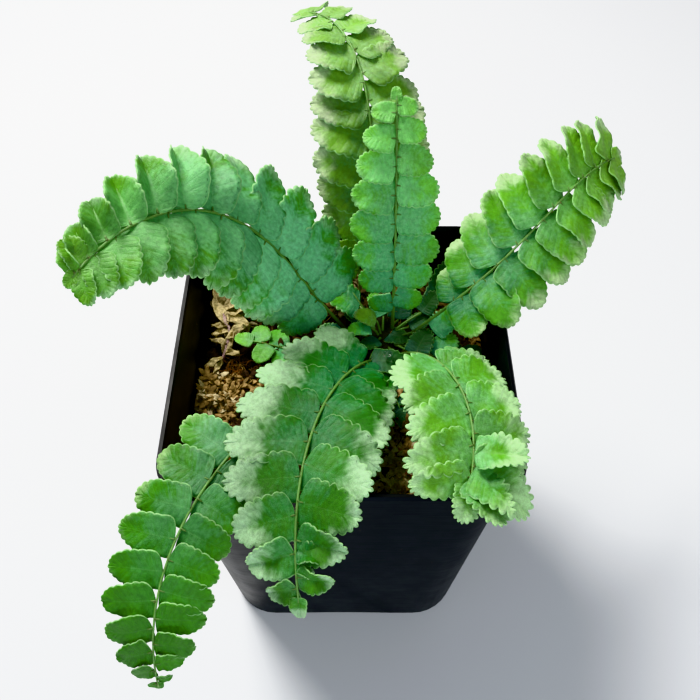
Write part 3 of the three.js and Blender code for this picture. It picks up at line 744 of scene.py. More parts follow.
def leafPoint(row, across, shape):  # rows run like veins, from the midrib out to the edge
    side = 1 if across >= 0 else -1
    edge = leafOutline(row, side, shape)
    share = (1 - math.cos(math.pi * row)) / 2
    start, lean = bladeSet["rowLean"]
    middle = Vector((share * (start + lean * row) * shape["length"], 0))
    flat = middle.lerp(edge, abs(across))
    length, half = shape["length"], shape["width"] / 2
    along = flat.x / length
    out = abs(flat.y) / half
    lift = -bladeSet["droop"] * length * along * along
    lift += math.tan(math.radians(shape["fold"])) * abs(flat.y) * ease(along, 0, 0.5)
    lift -= shape["cup"] * half * out * out
    lift -= shape["curl"] * length * max(along - 0.5, 0) ** 2
    ripple = math.sin(row * shape["waves"] * math.tau + shape["phase"] + side)
    lift += shape["wave"] * abs(across) ** 2 * ripple * ease(row, 0, 0.25)
    lift += shape["crumple"] * noise.noise(Vector((flat.x * 0.22, flat.y * 0.22, shape["phase"] * 9)))
    return Vector((flat.x, flat.y, lift)), along


def addLeaflet(target, point, along, across, up, shape, tones):
    sheet = bmesh.new()
    leafMap = sheet.loops.layers.uv.new("leafMap")
    leafMarks = sheet.verts.layers.float_color.new("leafMarks")
    bmesh.ops.create_grid(sheet, x_segments=shape["rows"], y_segments=shape["columns"], size=0.5)
    for face in sheet.faces:
        for loop in face.loops:
            loop[leafMap].uv = (loop.vert.co.x + 0.5, loop.vert.co.y + 0.5)
    place = Matrix((along, across, up)).transposed()
    foot = point + along * bladeSet["stalk"]
    for vert in sheet.verts:
        local, share = leafPoint(vert.co.x + 0.5, vert.co.y * 2, shape)
        vert[leafMarks] = (share, tones[0], tones[1], tones[2])
        vert.co = (foot + place @ local) * mm
    bmesh.ops.remove_doubles(sheet, verts=sheet.verts, dist=0.03 * mm)
    appendTo(target, sheet)


def leafShape(draw, length, width, fold, curl, tooth, small=False):
    size = min(length / bladeSet["fullLength"], 1)
    return {
        "length": length - bladeSet["stalk"],
        "width": width,
        "tipwardSide": 1,
        "rows": bladeSet["smallRows"] if small or length < bladeSet["smallLength"] else bladeSet["rows"],
        "columns": bladeSet["columns"],
        "tooth": tooth,
        "blunt": draw.uniform(*bladeSet["blunt"]),
        "fold": fold,
        "cup": draw.uniform(*bladeSet["cup"]),
        "curl": curl,
        "waves": draw.uniform(*bladeSet["waves"]),
        "phase": draw.uniform(0, 6),
        "wave": bladeSet["wave"] * draw.uniform(0.6, 1.3) * size,
        "crumple": bladeSet["crumple"] * size,
    }


def aimed(heading, pitch, roll=0):  # along, across and up for a leaf of its own
    turn = math.radians(heading)
    along = towards(turn, math.radians(pitch))
    across = Vector((-math.sin(turn), math.cos(turn), 0))
    across = Matrix.Rotation(math.radians(roll), 3, along) @ across
    return along, across, along.cross(across)


def creaseAt(frond, side, grown):  # some leaflets are folded along their own middle: 0 to 1
    creased = frond["creased"]
    if not creased or creased["side"] not in (0, side):
        return 0
    return ease(grown, creased["from"], creased["from"] + 0.15)


def leafletAxes(draw, frond, share, side, along, sideways, up):  # out along a leaflet, across it, up from it
    swing = lerp(*frond["swing"][0 if side < 0 else 1], share) + draw.uniform(-1, 1) * bladeSet["jitter"]
    swing = math.radians(swing) * abs(side)
    out = (along * math.cos(swing) + sideways * side * math.sin(swing)).normalized()
    tipward = along - out * along.dot(out)
    tipward = tipward.normalized() if tipward.length > 0.001 else sideways.copy()
    tilt = math.radians(frond["tilt"] + draw.uniform(-1, 1) * bladeSet["tiltJitter"]) * abs(side)
    raised = up * math.cos(tilt) + tipward * math.sin(tilt)
    across = raised.cross(out).normalized()
    raised = out.cross(across)
    turned = Matrix.Rotation(math.radians(draw.uniform(*bladeSet["dip"])), 3, across)
    return turned @ out, across, turned @ raised, 1 if across.dot(tipward) >= 0 else -1


def buildFrond(frond, seed):
    frond = frondBase | frond
    draw = random.Random(seed)
    points = walkRib(frond)
    blades, stems = bmesh.new(), bmesh.new()
    blades.loops.layers.uv.new("leafMap")
    blades.verts.layers.float_color.new("leafMarks")
    marks = stems.verts.layers.float_color.new("leafMarks")
    first, pairs, leaflet = frond["first"], frond["pairs"], frond["leaflet"]
    young = frond["length"] < youngSet["under"]
    spacing = (1 - first) * frond["length"] / pairs
    thin = youngSet["thin"] if young else 1

    def radiusAt(share):
        return lerp(ribSet["footRadius"], ribSet["tipRadius"], share ** 0.8) * thin

    def addRib():
        count = youngSet["samples"] if young else ribSet["samples"]
        path = [ribPlace(frond, points, i / count)[0] * mm for i in range(count + 1)]
        path[0] = path[0] - ribDirection(frond, 0) * ribSet["sink"] * mm
        radii = [radiusAt(i / count) * mm for i in range(count + 1)]
        sweepTube(stems, path, radii, ribSet["sides"], marks, lambda share: (share, 0, 0, 1))

    def addJoint(begin, out, up, along):  # a leaflet's short stalk and the bristles round it
        path = [(begin + out * step).copy() * mm for step in ribSet["stalkSteps"]]
        radii = [radius * thin * mm for radius in ribSet["stalkRadii"]]
        sides = ribSet["stalkSides"]
        sweepTube(stems, path, radii, sides, marks, lambda share: (0.5, 0.6 - share * 0.4, 0, 1))
        for _ in range(ribSet["jointHairs"]):
            aim = out * draw.uniform(-0.2, 0.8) + up * draw.uniform(0.2, 1) + along * draw.uniform(-1, 1)
            length = draw.uniform(*ribSet["jointHairLength"])
            bristle(stems, begin * mm, aim.normalized(), length * mm, ribSet["jointHairRadius"] * mm, 1)

    def place(share, grown, side, length, width):  # side is -1, 1 or, for the leaf at the end, 0
        point, along, sideways, up = ribPlace(frond, points, share)
        out, across, raised, tipwardSide = leafletAxes(draw, frond, share, side, along, sideways, up)
        fold = lerp(*frond["fold"], grown) + draw.uniform(-1, 1) * bladeSet["foldJitter"]
        shape = leafShape(draw, length, width, fold, draw.uniform(*bladeSet["curl"]), frond["tooth"], young)
        crease = creaseAt(frond, side, grown)
        if crease:
            shape["fold"] += frond["creased"]["fold"] * crease
            shape["width"] *= lerp(1, frond["creased"]["narrow"], crease)
            shape["blunt"] = lerp(shape["blunt"], 1.4, crease)
            shape["tooth"] *= lerp(1, 0.6, crease)
        shape["tipwardSide"] = tipwardSide
        pale = lerp(*frond["pale"], grown) * draw.uniform(0.8, 1.15)
        pale *= frond["paleSides"][0 if side < 0 else 1]
        tones = (pale, draw.random(), lerp(*frond["aged"], max(grown, 0) ** 1.5))
        addLeaflet(blades, point, out, across, raised, shape, tones)
        if side:
            addJoint(point + up * radiusAt(share) * 0.25, out, up, along)

    def addTuftLeaf(share, heading, pitch, length, width, fold, curl, pale, aged):
        along, across, up = aimed(heading, pitch)
        shape = leafShape(draw, length, width, fold, curl, frond["tooth"])
        point = ribPlace(frond, points, share)[0]
        addLeaflet(blades, point, along, across, up, shape, (pale, draw.random(), aged))

    addRib()
    tipSides = frond.get("sidesTip", frond["sides"])
    for i in range(pairs):
        for which, side in enumerate((-1, 1)):
            even = (i + bladeSet["stagger"][which]) / pairs
            grown = 1 - (1 - even) ** frond["crowd"]
            sided = lerp(frond["sides"][which], tipSides[which], grown)
            length = leaflet[0] * leafletShare(leaflet, grown) * sided
            room = spacing * frond["crowd"] * (1 - even) ** (frond["crowd"] - 1)
            room = room * lerp(1, frond["fuller"], grown)
            width = min(room * frond["overlap"], length * bladeSet["widest"])
            place(first + (1 - first) * grown, grown, side, length, width)
    place(bladeSet["endAt"], 1, 0, frond["end"], frond["end"] * bladeSet["widest"])
    for leaf in frond["tuft"]:
        addTuftLeaf(*leaf)

    for _ in range(int(ribSet["hairs"] * (youngSet["hairs"] if young else 1))):
        share = draw.random() ** 1.3
        point, along, sideways, up = ribPlace(frond, points, share)
        angle = draw.uniform(-0.4, math.pi + 0.4)
        out = sideways * math.cos(angle) + up * math.sin(angle)
        aim = (out + along * draw.uniform(0.1, 1.2)).normalized()
        length = ribSet["hairLength"] * draw.uniform(0.5, 1.5) * (1.5 - share)
        foot = point + out * radiusAt(share) * 0.9
        bristle(stems, foot * mm, aim, length * mm, ribSet["hairRadius"] * mm, 1)

    name, slot = frond["name"], "young_leaf" if young else "leaf"
    blade = finishPiece(blades, name + "_blades", [leafMaterials[frond["finish"]], leafUnder], [name])
    thicken(blade, bladeSet["thickness"] * (youngSet["blade"] if young else 1), 1)
    finishPiece(stems, name + "_rib", [ribSkin, scaleHair])


for number, frond in enumerate(fronds):
    buildFrond(frond, 40 + number)
print("fronds grown:", len(fronds))

# Young leaves round the crown: middle, heading, pitch, roll, length, width, finish and depth of teeth.
crownLeaves = [
    ((6.6, 15.1, 98), 172, 22, 0, 6.8, 5.6, "olive", 1.2),
    ((4.9, 12.3, 96), 196, 14, 0, 7.0, 5.0, "centre", 0.9),
    ((7.8, 9.5, 93), 214, 14, 0, 6.5, 4.5, "shade", 1.35),
    ((-0.3, 22.5, 98), 166, 26, 0, 12, 10.5, "right", 1.65),
    ((-2.9, 29.2, 100), 150, 24, 8, 11.5, 9.5, "centre", 1.8),
    ((29.9, 25.9, 101), 66, 34, 14, 13, 9.5, "shade", 1.8),
    ((24.9, 20.5, 98), 46, 36, 0, 7.5, 6, "shade", 1.35),
    ((22.2, 16.8, 94), 20, 26, 0, 7, 6, "shade", 1.2),
    ((28.8, 13.2, 98), 24, 34, 12, 8.5, 7.5, "centre", 2.4),
    ((22.2, 8.4, 95), 60, 30, -8, 8.5, 7.5, "shade", 1.8),
    ((28.7, 7.3, 95), 40, 26, 6, 8.5, 7.5, "centre", 1.95),
    ((19.7, 2.5, 94), 20, 20, 0, 6.5, 5.5, "shade", 2.1),
    ((13.2, 1.8, 95), -10, 8, 0, 11.5, 8, "shade", 1.05),
    ((7.9, -1.6, 92), 214, 10, -6, 9, 6.5, "shade", 1.35),
    ((13.1, -5.3, 92), 2, 6, 58, 12, 5, "centre", 1.35),
    ((10.2, 20.6, 97), 120, 30, 0, 7.5, 6, "centre", 1.65),
    # These last four dark leaves in the shade finish sit low around the crown: painted shade filling its
    # dark middle.
    ((-3.5, 12.5, 94), 190, 18, 0, 8, 6.5, "shade", 1.35),
    ((4, 20, 93), 140, 14, 0, 8, 7, "shade", 1.2),
    ((17, 23, 93), 80, 30, 0, 8, 7, "shade", 1.2),
    ((15.5, 13, 92), -30, 20, 0, 7, 6, "shade", 1.2),
]

crownLeafSet = {
    "centre": (11.5, 14, 87),  # their stalks start here
    "arch": 1.6,
    "stalkShares": (0, 0.3, 0.55, 0.8, 1),
    "stalkRadii": (0.4, 0.36, 0.32, 0.3, 0.24),
    "stalkSides": 6,
    "fold": (2, 12),
    "curl": (0, 0.7),
    "pale": (0, 0.35),
    "thickness": 0.27,
}


def buildCrownLeaves(values):
    draw = random.Random(77)
    stems = bmesh.new()
    marks = stems.verts.layers.float_color.new("leafMarks")
    centre = Vector(values["centre"])
    radii = [radius * mm for radius in values["stalkRadii"]]
    for kind in ("olive", "centre", "right", "shade"):
        blades = bmesh.new()
        blades.loops.layers.uv.new("leafMap")
        blades.verts.layers.float_color.new("leafMarks")
        for middle, heading, pitch, roll, length, width, finish, tooth in crownLeaves:
            if finish != kind:
                continue
            along, across, up = aimed(heading, pitch, roll)
            foot = Vector(middle) - along * length / 2
            fold, curl = draw.uniform(*values["fold"]), draw.uniform(*values["curl"])
            shape = leafShape(draw, length, width, fold, curl, tooth)
            tones = (draw.uniform(*values["pale"]), draw.random(), 0)
            addLeaflet(blades, foot, along, across, up, shape, tones)
            stalk = []
            for share in values["stalkShares"]:
                arch = Vector((0, 0, values["arch"] * math.sin(share * math.pi)))
                stalk.append((centre.lerp(foot, share) + arch) * mm)
            sweepTube(stems, stalk, radii, values["stalkSides"], marks, lambda share: (0.3, 0.2, 0, 1))
        piece = finishPiece(blades, "crown_leaves_" + kind, [leafMaterials[kind], leafUnder])
        thicken(piece, values["thickness"], 1)
    finishPiece(stems, "crown_leaf_stalks", [ribSkin])


dropSet = {"at": (12.6, 2.8, 96.9), "size": (1.35, 1.25, 0.95), "under": 0.45}


def buildDrop(values):  # a drop of water lies on the dark leaf in front
    bead = bmesh.new()
    bmesh.ops.create_icosphere(bead, subdivisions=4, radius=1)
    middle, size = Vector(values["at"]), values["size"]
    for vert in bead.verts:
        if vert.co.z < 0:
            vert.co.z *= values["under"]
        vert.co = (middle + stretched(vert.co, size)) * mm
    water = newMaterial("waterDrop", Transmission_Weight=1.0, Roughness=0.02, IOR=1.33)[0]
    finishPiece(bead, "water_drop", [water])


buildCrownLeaves(crownLeafSet)
buildDrop(dropSet)
print("crown leaves ready")

# Pot.

potSet = {
    "plastic": colour(2, 4, 7),
    "warm": colour(5, 7, 8),
    "dust": colour(128, 122, 112),
    "bevel": 0.3,
    "mouldedSize": 24.0,
    "edgeAngle": 32,
    "drawnSize": 38.0,  # faint marks that run up the wall
    "drawnStretch": (0.35, 0.35, 14.0),
    "dustSize": 430.0,
    "dustAmount": 0.05,
    "roughness": 0.34,
    "grainDepth": 0.018,
}


def potMaterial(values):
    material, tree, shader = newMaterial("potPlastic", Specular_IOR_Level=0.13)
    moulded = useGroup(tree, mottle, Size=values["mouldedSize"])
    drawn = useGroup(tree, mottle, Size=values["drawnSize"], Stretch=values["drawnStretch"])
    dusty = useGroup(tree, specks, Size=values["dustSize"], Amount=values["dustAmount"], Edge=0.16)["Mask"]
    film = times(tree, moulded["Blotch"], moulded["Grain"], 0.02)
    body = blendColour(tree, times(tree, moulded["Blotch"], 0.35), values["plastic"], values["warm"])
    body = blendColour(tree, film, body, values["dust"])
    body = blendColour(tree, times(tree, dusty, 0.5), body, values["dust"])
    tree.links.new(body, shader["Base Color"])
    rough = calculate(tree, "MULTIPLY_ADD", moulded["Grain"], 0.08, values["roughness"])
    rough = plus(tree, rough, times(tree, drawn["Grain"], 0.08), times(tree, dusty, 0.3))
    tree.links.new(rough, shader["Roughness"])
    height = plus(tree, times(tree, drawn["Grain"], 0.5), moulded["Grain"])
    joinBump(tree, shader, height, values["grainDepth"])
    return material


def buildPot(values):  # the frame's pot, its loose triangles joined and its edges broken
    shell = bmesh.new()
    shell.from_mesh(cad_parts["pot"].data)
    bmesh.ops.remove_doubles(shell, verts=shell.verts, dist=0.005 * mm)
    bmesh.ops.dissolve_limit(shell, angle_limit=math.radians(1), verts=shell.verts, edges=shell.edges)
    pot = finishPiece(shell, "pot_shell", [potMaterial(values)], ["pot"])
    angle = math.radians(values["edgeAngle"])
    pot.data.set_sharp_from_angle(angle=angle)
    edge = pot.modifiers.new("brokenEdge", "BEVEL")
    edge.width = values["bevel"] * mm
    edge.segments = 3
    edge.limit_method = "ANGLE"
    edge.angle_limit = angle
    edge.harden_normals = True


buildPot(potSet)
print("pot ready")

# Moss.

mossSet = {
    "height": 87,
    "crownRise": 1.6,
    "relief": 1.4,
    "rimHalf": 45,
    "half": 40.8,
    "corner": 9.7,
    "cells": 150,
    "roughness": 1.1,
    "lumps": 0.42,  # how fast the ground's lumps and pits change, for each millimetre
    "pitsApart": 0.16,
    "pits": 3.2,
    "depth": 9,
    # dark and mid: the bed's own dark brown, deepened to near black as painted shade under the plant
    "dark": colour(9, 6, 4),
    "mid": colour(44, 29, 17),
    "tan": colour(156, 130, 86),
    "cream": colour(204, 188, 148),
    "orange": colour(122, 78, 38),
    "brown": colour(66, 48, 32),
    "leafLength": 2.9,
    "leafWidth": 1.5,
    "leafLengths": (0.6, 1.25),  # shares of these, from the shortest to the longest
    "leafWidths": (0.6, 1.2),
    "thickness": 0.12,
    "reach": 39.0,  # strands and fibres turn back at the wall
    "clumpReach": 38,
    "mattedReach": 38.5,
    "wallShare": 0.995,
    "lift": 0.4,
    "stray": 0.35,
    "strandRadius": 0.32,
    "strandTaper": 0.6,
    "strandSteps": 6,
    "strandCurl": 2.0,
    "strandHump": (0.4, 2.2),
    "strandLengths": (0.6, 1.2),
    "leavesPerMm": 1.05,
    "fibreRadius": (0.1, 0.24),
    "fibreSteps": 7,
    "fibreCurl": 3.5,
    "fibreHump": (0.3, 2.4),
    "fibreLengths": (0.5, 1.3),
    "shadeAt": (11.5, 15),  # painted shade: the moss is darkened under the crown
    "shadeBand": (10, 26),
    "shade": 0.12,
}

# Where the moss lies loose on the bed: middle, spread, how many strands and which tones.
mossClumps = [
    {"at": (15, -16), "spread": 8, "count": 40, "tones": ("tan", "tan", "brown", "orange"), "length": 11},
    {"at": (12, -12), "spread": 6, "count": 18, "tones": ("tan", "brown"), "length": 8},
    {"at": (18, -33), "spread": 6, "count": 26, "tones": ("cream", "tan"), "length": 9},
    {"at": (-28, -12), "spread": 9, "count": 40, "tones": ("tan", "tan", "brown"), "length": 9},
    {"at": (19, -29), "spread": 8, "count": 44, "tones": ("tan", "cream", "cream"), "length": 11},
    {"at": (29, -35), "spread": 6, "count": 20, "tones": ("cream", "tan"), "length": 9},
    {"at": (0, -28), "spread": 12, "count": 34, "tones": ("tan", "cream", "brown"), "length": 12},
    {"at": (-24, -26), "spread": 11, "count": 30, "tones": ("tan", "orange", "brown"), "length": 12},
    {"at": (-35, -6), "spread": 6, "count": 34, "tones": ("cream", "tan", "tan"), "length": 9},
    {"at": (34, 4), "spread": 8, "count": 26, "tones": ("orange", "brown", "tan"), "length": 10},
    {"at": (34, 26), "spread": 9, "count": 24, "tones": ("tan", "brown"), "length": 12},
    {"at": (8, 34), "spread": 13, "count": 34, "tones": ("tan", "brown", "cream"), "length": 12},
    {"at": (-22, 34), "spread": 11, "count": 22, "tones": ("brown", "tan"), "length": 12},
    {"at": (-14, 6), "spread": 9, "count": 10, "tones": ("brown", "brown", "orange"), "length": 9},
    {"at": (-31, 22), "spread": 6, "count": 12, "tones": ("tan", "cream"), "length": 7},
]

fibreMats = [
    {"at": (-30, 0), "spread": (7, 4), "count": 130, "tones": ("orange", "orange", "tan", "brown"),
     "length": 6},
    {"at": (36, 14), "spread": (4, 6), "count": 50, "tones": ("orange", "brown"), "length": 6},
    {"at": (10, -22), "spread": (20, 14), "count": 90, "tones": ("tan", "brown", "cream"), "length": 9},
    {"at": (0, 30), "spread": (30, 9), "count": 70, "tones": ("tan", "brown"), "length": 9},
    {"at": (-20, 14), "spread": (16, 14), "count": 40, "tones": ("brown", "brown", "tan"), "length": 8},
]


def mossHeight(x, y):  # the bed's own height, with slow waves over it
    away = math.hypot(x, y) / mossSet["rimHalf"]
    waves = (
        math.sin(x * 0.61 + 1.3 * math.sin(y * 0.31)) * 0.5
        + math.sin(y * 0.83 + x * 0.37 + 2) * 0.4
        + math.sin(x * 1.21 - y * 0.93 + 0.7) * 0.35
    )
    return mossSet["height"] + mossSet["crownRise"] * (1 - away * away) + mossSet["relief"] * waves


def intoSquare(x, y):  # from a square of half 1 to the pot's rounded square
    half, corner = mossSet["half"], mossSet["corner"]
    most = max(abs(x), abs(y))
    if most < 1e-6:
        return 0.0, 0.0
    onEdge = Vector((x / most * half, y / most * half))
    inner = half - corner
    share = 1.0
    if abs(onEdge.x) > inner and abs(onEdge.y) > inner:
        middle = Vector((math.copysign(inner, x), math.copysign(inner, y)))
        aim = onEdge.normalized()
        ahead = aim.dot(middle)
        inside = ahead * ahead - middle.length_squared + corner * corner
        share = min((ahead + math.sqrt(max(inside, 0))) / onEdge.length, 1)
    return x * half * share, y * half * share


def mossMaterial(name, roughness, relief):  # each leaf and strand carries its own tone, and with it the painted shade under the crown and in the bed's hollows
    material, tree, shader = newMaterial(name, Specular_IOR_Level=0.2)
    tone = addNode(tree, "ShaderNodeAttribute", attribute_name="strandTone").outputs["Color"]
    coat = useGroup(tree, mottle, Size=260.0)
    shade = remap(tree, coat["Blotch"], 0.0, 1.0, 0.55, 1.15)
    shade = times(tree, shade, remap(tree, coat["Grain"], 0.0, 1.0, 0.75, 1.15))
    tree.links.new(blendColour(tree, 1.0, tone, greyOf(tree, shade), "MULTIPLY"), shader["Base Color"])
    joinRoughness(tree, shader, coat["Grain"], roughness, 0.98)
    joinBump(tree, shader, coat["Grain"], relief)
    return material


def buildBed(values):
    bed = bmesh.new()
    tone = bed.verts.layers.float_color.new("strandTone")
    bmesh.ops.create_grid(bed, x_segments=values["cells"], y_segments=values["cells"], size=1)
    dark, mid = Vector(values["dark"][:3]), Vector(values["mid"][:3])
    for vert in bed.verts:
        x, y = intoSquare(vert.co.x, vert.co.y)
        rough = noise.fractal(Vector((x * values["lumps"], y * values["lumps"], 3.1)), 0.9, 2.1, 5)
        pits = noise.noise(Vector((x * values["pitsApart"], y * values["pitsApart"], 8.0)))
        lift = values["roughness"] * rough + min(pits, 0) * values["pits"]
        vert.co = Vector((x, y, mossHeight(x, y) + lift)) * mm
        # painted shade: the lower, pitted ground gets the darker tone
        vert[tone] = (*dark.lerp(mid, min(max(rough * 0.7 + 0.2 + pits * 0.6, 0), 1)), 1)
    border = [e for e in bed.edges if e.is_boundary]
    made = bmesh.ops.extrude_edge_only(bed, edges=border)["geom"]
    lower = [g for g in made if isinstance(g, bmesh.types.BMVert)]
    for vert in lower:
        vert.co.z = (values["height"] - values["depth"]) * mm
    bmesh.ops.contextual_create(bed, geom=[e for e in bed.edges if e.is_boundary])
    bmesh.ops.recalc_face_normals(bed, faces=bed.faces)
    finishPiece(bed, "moss_ground", [mossMaterial("mossGround", 0.85, 0.3)], ["moss_bed"])


def kept(value, reach):
    return min(max(value, -reach), reach)


def curledPath(draw, x, y, heading, length, steps, hump, curl):
    path = []
    turn = draw.uniform(-curl, curl)
    for i in range(steps + 1):
        share = i / steps
        lift = hump * math.sin(math.pi * min(share * 1.05, 1)) + mossSet["lift"]
        path.append(Vector((x, y, mossHeight(x, y) + lift)))
        heading += turn / steps + draw.uniform(-mossSet["stray"], mossSet["stray"])
        x = kept(x + math.cos(heading) * length / steps, mossSet["reach"])
        y = kept(y + math.sin(heading) * length / steps, mossSet["reach"])
    return path


def keepInPot(piece):  # loose moss ends at the pot's wall
    for vert in piece.verts:
        x, y = vert.co.x / mm, vert.co.y / mm
        most = max(abs(x), abs(y), 1e-6)
        edge = Vector(intoSquare(x / most, y / most)) * mossSet["wallShare"]
        if math.hypot(x, y) > edge.length:
            vert.co.x, vert.co.y = edge.x * mm, edge.y * mm


# One thin dry leaf.
def papery(target, foot, aim, length, width, tone, draw, rows=3, columns=2, crumple=0.25):
    leaf = bmesh.new()
    layer = leaf.verts.layers.float_color.new("strandTone")
    bmesh.ops.create_grid(leaf, x_segments=rows, y_segments=columns, size=0.5)
    aim = aim.normalized()
    across = Vector((0, 0, 1)).cross(aim).normalized()
    raised = aim.cross(across)
    place = Matrix((aim, across, raised)).transposed()
    bend, cup = draw.uniform(-0.3, 0.5), draw.uniform(0.2, 0.7)
    for vert in leaf.verts:
        share, side = vert.co.x + 0.5, vert.co.y * 2
        half = width / 2 * max(math.sin(math.pi * min(share * 0.9 + 0.06, 1)), 0.02) ** 0.8
        lift = cup * half * side * side - bend * length * share * share
        lift += crumple * noise.noise(Vector((share * 3, side * 1.4, foot.x + foot.y)))
        vert.co = (foot + place @ Vector((share * length, side * half, lift))) * mm
        vert[layer] = (*[value * lerp(0.82, 1.1, share) for value in tone[:3]], 1)
    appendTo(target, leaf)


def buildMoss(values):
    draw = random.Random(17)
    leaves, stems = bmesh.new(), bmesh.new()
    leaves.verts.layers.float_color.new("strandTone")
    stems.verts.layers.float_color.new("strandTone")
    steps = values["strandSteps"]

    def addStrand(path, radius, tone, sides):
        tube = bmesh.new()
        layer = tube.verts.layers.float_color.new("strandTone")
        taper = values["strandTaper"] / (len(path) - 1)
        radii = [radius * (1 - taper * i) * mm for i in range(len(path))]
        sweepTube(tube, [p * mm for p in path], radii, sides, layer, lambda share: tone)
        appendTo(stems, tube)

    # Painted shade: strands and fibres near the crown are darkened.
    def shaded(tone, x, y):
        away = math.hypot(x - values["shadeAt"][0], y - values["shadeAt"][1])
        light = lerp(values["shade"], 1, ease(away, *values["shadeBand"]))
        return (*[value * light for value in tone[:3]], 1)

    def addLeaves(path, length, tone):
        count = length * values["leavesPerMm"]
        for j in range(int(count)):
            share = (j + draw.random()) / count
            at = min(int(share * steps), steps - 1)
            foot = path[at].lerp(path[at + 1], share * steps - at)
            ahead = (path[at + 1] - path[at]).normalized()
            side = Vector((-ahead.y, ahead.x, 0)) * (1 if j % 2 else -1)
            aim = ahead * draw.uniform(0.5, 1.2) + side * draw.uniform(0.3, 1.1)
            aim += Vector((0, 0, draw.uniform(-0.1, 0.6)))
            size = values["leafLength"] * draw.uniform(*values["leafLengths"])
            width = values["leafWidth"] * draw.uniform(*values["leafWidths"])
            papery(leaves, foot, aim, size, width, tone, draw)

    for clump in mossClumps:
        for _ in range(clump["count"]):
            tone = values[draw.choice(clump["tones"])]
            x = kept(clump["at"][0] + draw.gauss(0, clump["spread"] / 2), values["clumpReach"])
            y = kept(clump["at"][1] + draw.gauss(0, clump["spread"] / 2), values["clumpReach"])
            tone = shaded(tone, x, y)
            length = clump["length"] * draw.uniform(*values["strandLengths"])
            heading, hump = draw.uniform(0, math.tau), draw.uniform(*values["strandHump"])
            path = curledPath(draw, x, y, heading, length, steps, hump, values["strandCurl"])
            addStrand(path, values["strandRadius"], tone, 4)
            addLeaves(path, length, tone)
    for mat in fibreMats:
        for _ in range(mat["count"]):
            tone = values[draw.choice(mat["tones"])]
            x = kept(mat["at"][0] + draw.uniform(-1, 1) * mat["spread"][0], values["mattedReach"])
            y = kept(mat["at"][1] + draw.uniform(-1, 1) * mat["spread"][1], values["mattedReach"])
            tone = shaded(tone, x, y)
            length = mat["length"] * draw.uniform(*values["fibreLengths"])
            heading, hump = draw.uniform(0, math.tau), draw.uniform(*values["fibreHump"])
            fibreSteps, curl = values["fibreSteps"], values["fibreCurl"]
            path = curledPath(draw, x, y, heading, length, fibreSteps, hump, curl)
            addStrand(path, draw.uniform(*values["fibreRadius"]), tone, 3)
    keepInPot(leaves)
    keepInPot(stems)
    leafPiece = finishPiece(leaves, "moss_leaves", [mossMaterial("mossLeaf", 0.7, 0.12)])
    thicken(leafPiece, values["thickness"])
    finishPiece(stems, "moss_fibres", [mossMaterial("mossFibre", 0.75, 0.1)])


buildBed(mossSet)
buildMoss(mossSet)
print("moss laid")

# Dead sprig.

sprigSet = {
    "points": ((-35.5, 24, 92), (-35, 19, 93), (-33, 14, 92.6), (-33.5, 9, 91.6), (-34.5, 5, 90.4)),
    "radius": 0.72,
    "samples": 26,
    "sides": 9,
    "wobble": 0.12,
    "uneven": (0.75, 1.15),
    "taper": 0.35,
    "stem": colour(108, 82, 84),
    "flake": colour(170, 146, 140),
    "scale": colour(188, 172, 126),
    "thickness": 0.16,
    "crumple": 1.6,
}

# Papery scales: share of the stem, heading, rise, length and width.
sprigScales = [
    (0.02, 120, 14, 6.5, 3.4), (0.02, 60, 34, 8.0, 6.0), (0.05, 30, 26, 9.0, 6.2), (0.08, 8, 34, 8.6, 5.6),
    (0.12, 345, 14, 9.0, 4.6), (0.16, 40, 12, 8.0, 4.4), (0.24, 335, 4, 8.5, 3.4), (0.4, 118, 12, 10.0, 3.4),
    (0.42, 165, 6, 5.0, 2.6), (0.5, 175, 0, 5.4, 2.8), (0.62, 30, 30, 6.5, 3.0), (0.7, 150, 4, 6.2, 2.2),
    (0.84, 350, 8, 4.6, 2.2), (0.86, 70, 20, 7.0, 2.8), (0.94, 205, 0, 5.6, 1.8), (0.98, 240, 2, 5.0, 1.4),
]


def curvePoint(points, share):  # smooth curve through the points
    spans = len(points) - 1
    at = min(max(share, 0), 1) * spans
    low = min(int(at), spans - 1)
    t = at - low
    a, b, c, d = [Vector(points[min(max(low + k, 0), spans)]) for k in (-1, 0, 1, 2)]
    squared, cubed = 2 * a - 5 * b + 4 * c - d, 3 * b - a - 3 * c + d
    return 0.5 * ((2 * b) + (c - a) * t + squared * t * t + cubed * t ** 3)


def buildSprig(values):
    draw = random.Random(23)
    stem, scales = bmesh.new(), bmesh.new()
    scales.verts.layers.float_color.new("strandTone")
    count, stray = values["samples"], values["wobble"]
    path = [curvePoint(values["points"], i / count) for i in range(count + 1)]
    wobble = [Vector((draw.uniform(-stray, stray), 0, draw.uniform(-stray, stray))) for _ in path]
    radii = []
    for i in range(count + 1):
        uneven = draw.uniform(*values["uneven"])
        radii.append(values["radius"] * uneven * (1 - values["taper"] * i / count) * mm)
    sweepTube(stem, [(p + w) * mm for p, w in zip(path, wobble)], radii, values["sides"])
    for share, heading, rise, length, width in sprigScales:
        foot, aim = curvePoint(values["points"], share), aimed(heading, rise)[0]
        crumple = values["crumple"]
        papery(scales, foot, aim, length, width, values["scale"], draw, rows=14, columns=6, crumple=crumple)
    tones = (values["stem"], values["flake"])
    bark = mottledMaterial(
        "drySprig", tones, size=420.0, rough=(0.7, 0.95), specular=0.25, relief=0.3, stretch=(1, 0.5, 1)
    )
    finishPiece(stem, "sprig_stem", [bark], ["dead_sprig"])
    scalePiece = finishPiece(scales, "sprig_scales", [mossMaterial("sprigScale", 0.65, 0.2)])
    thicken(scalePiece, values["thickness"])


buildSprig(sprigSet)
print("sprig ready")

# Crown and roots.

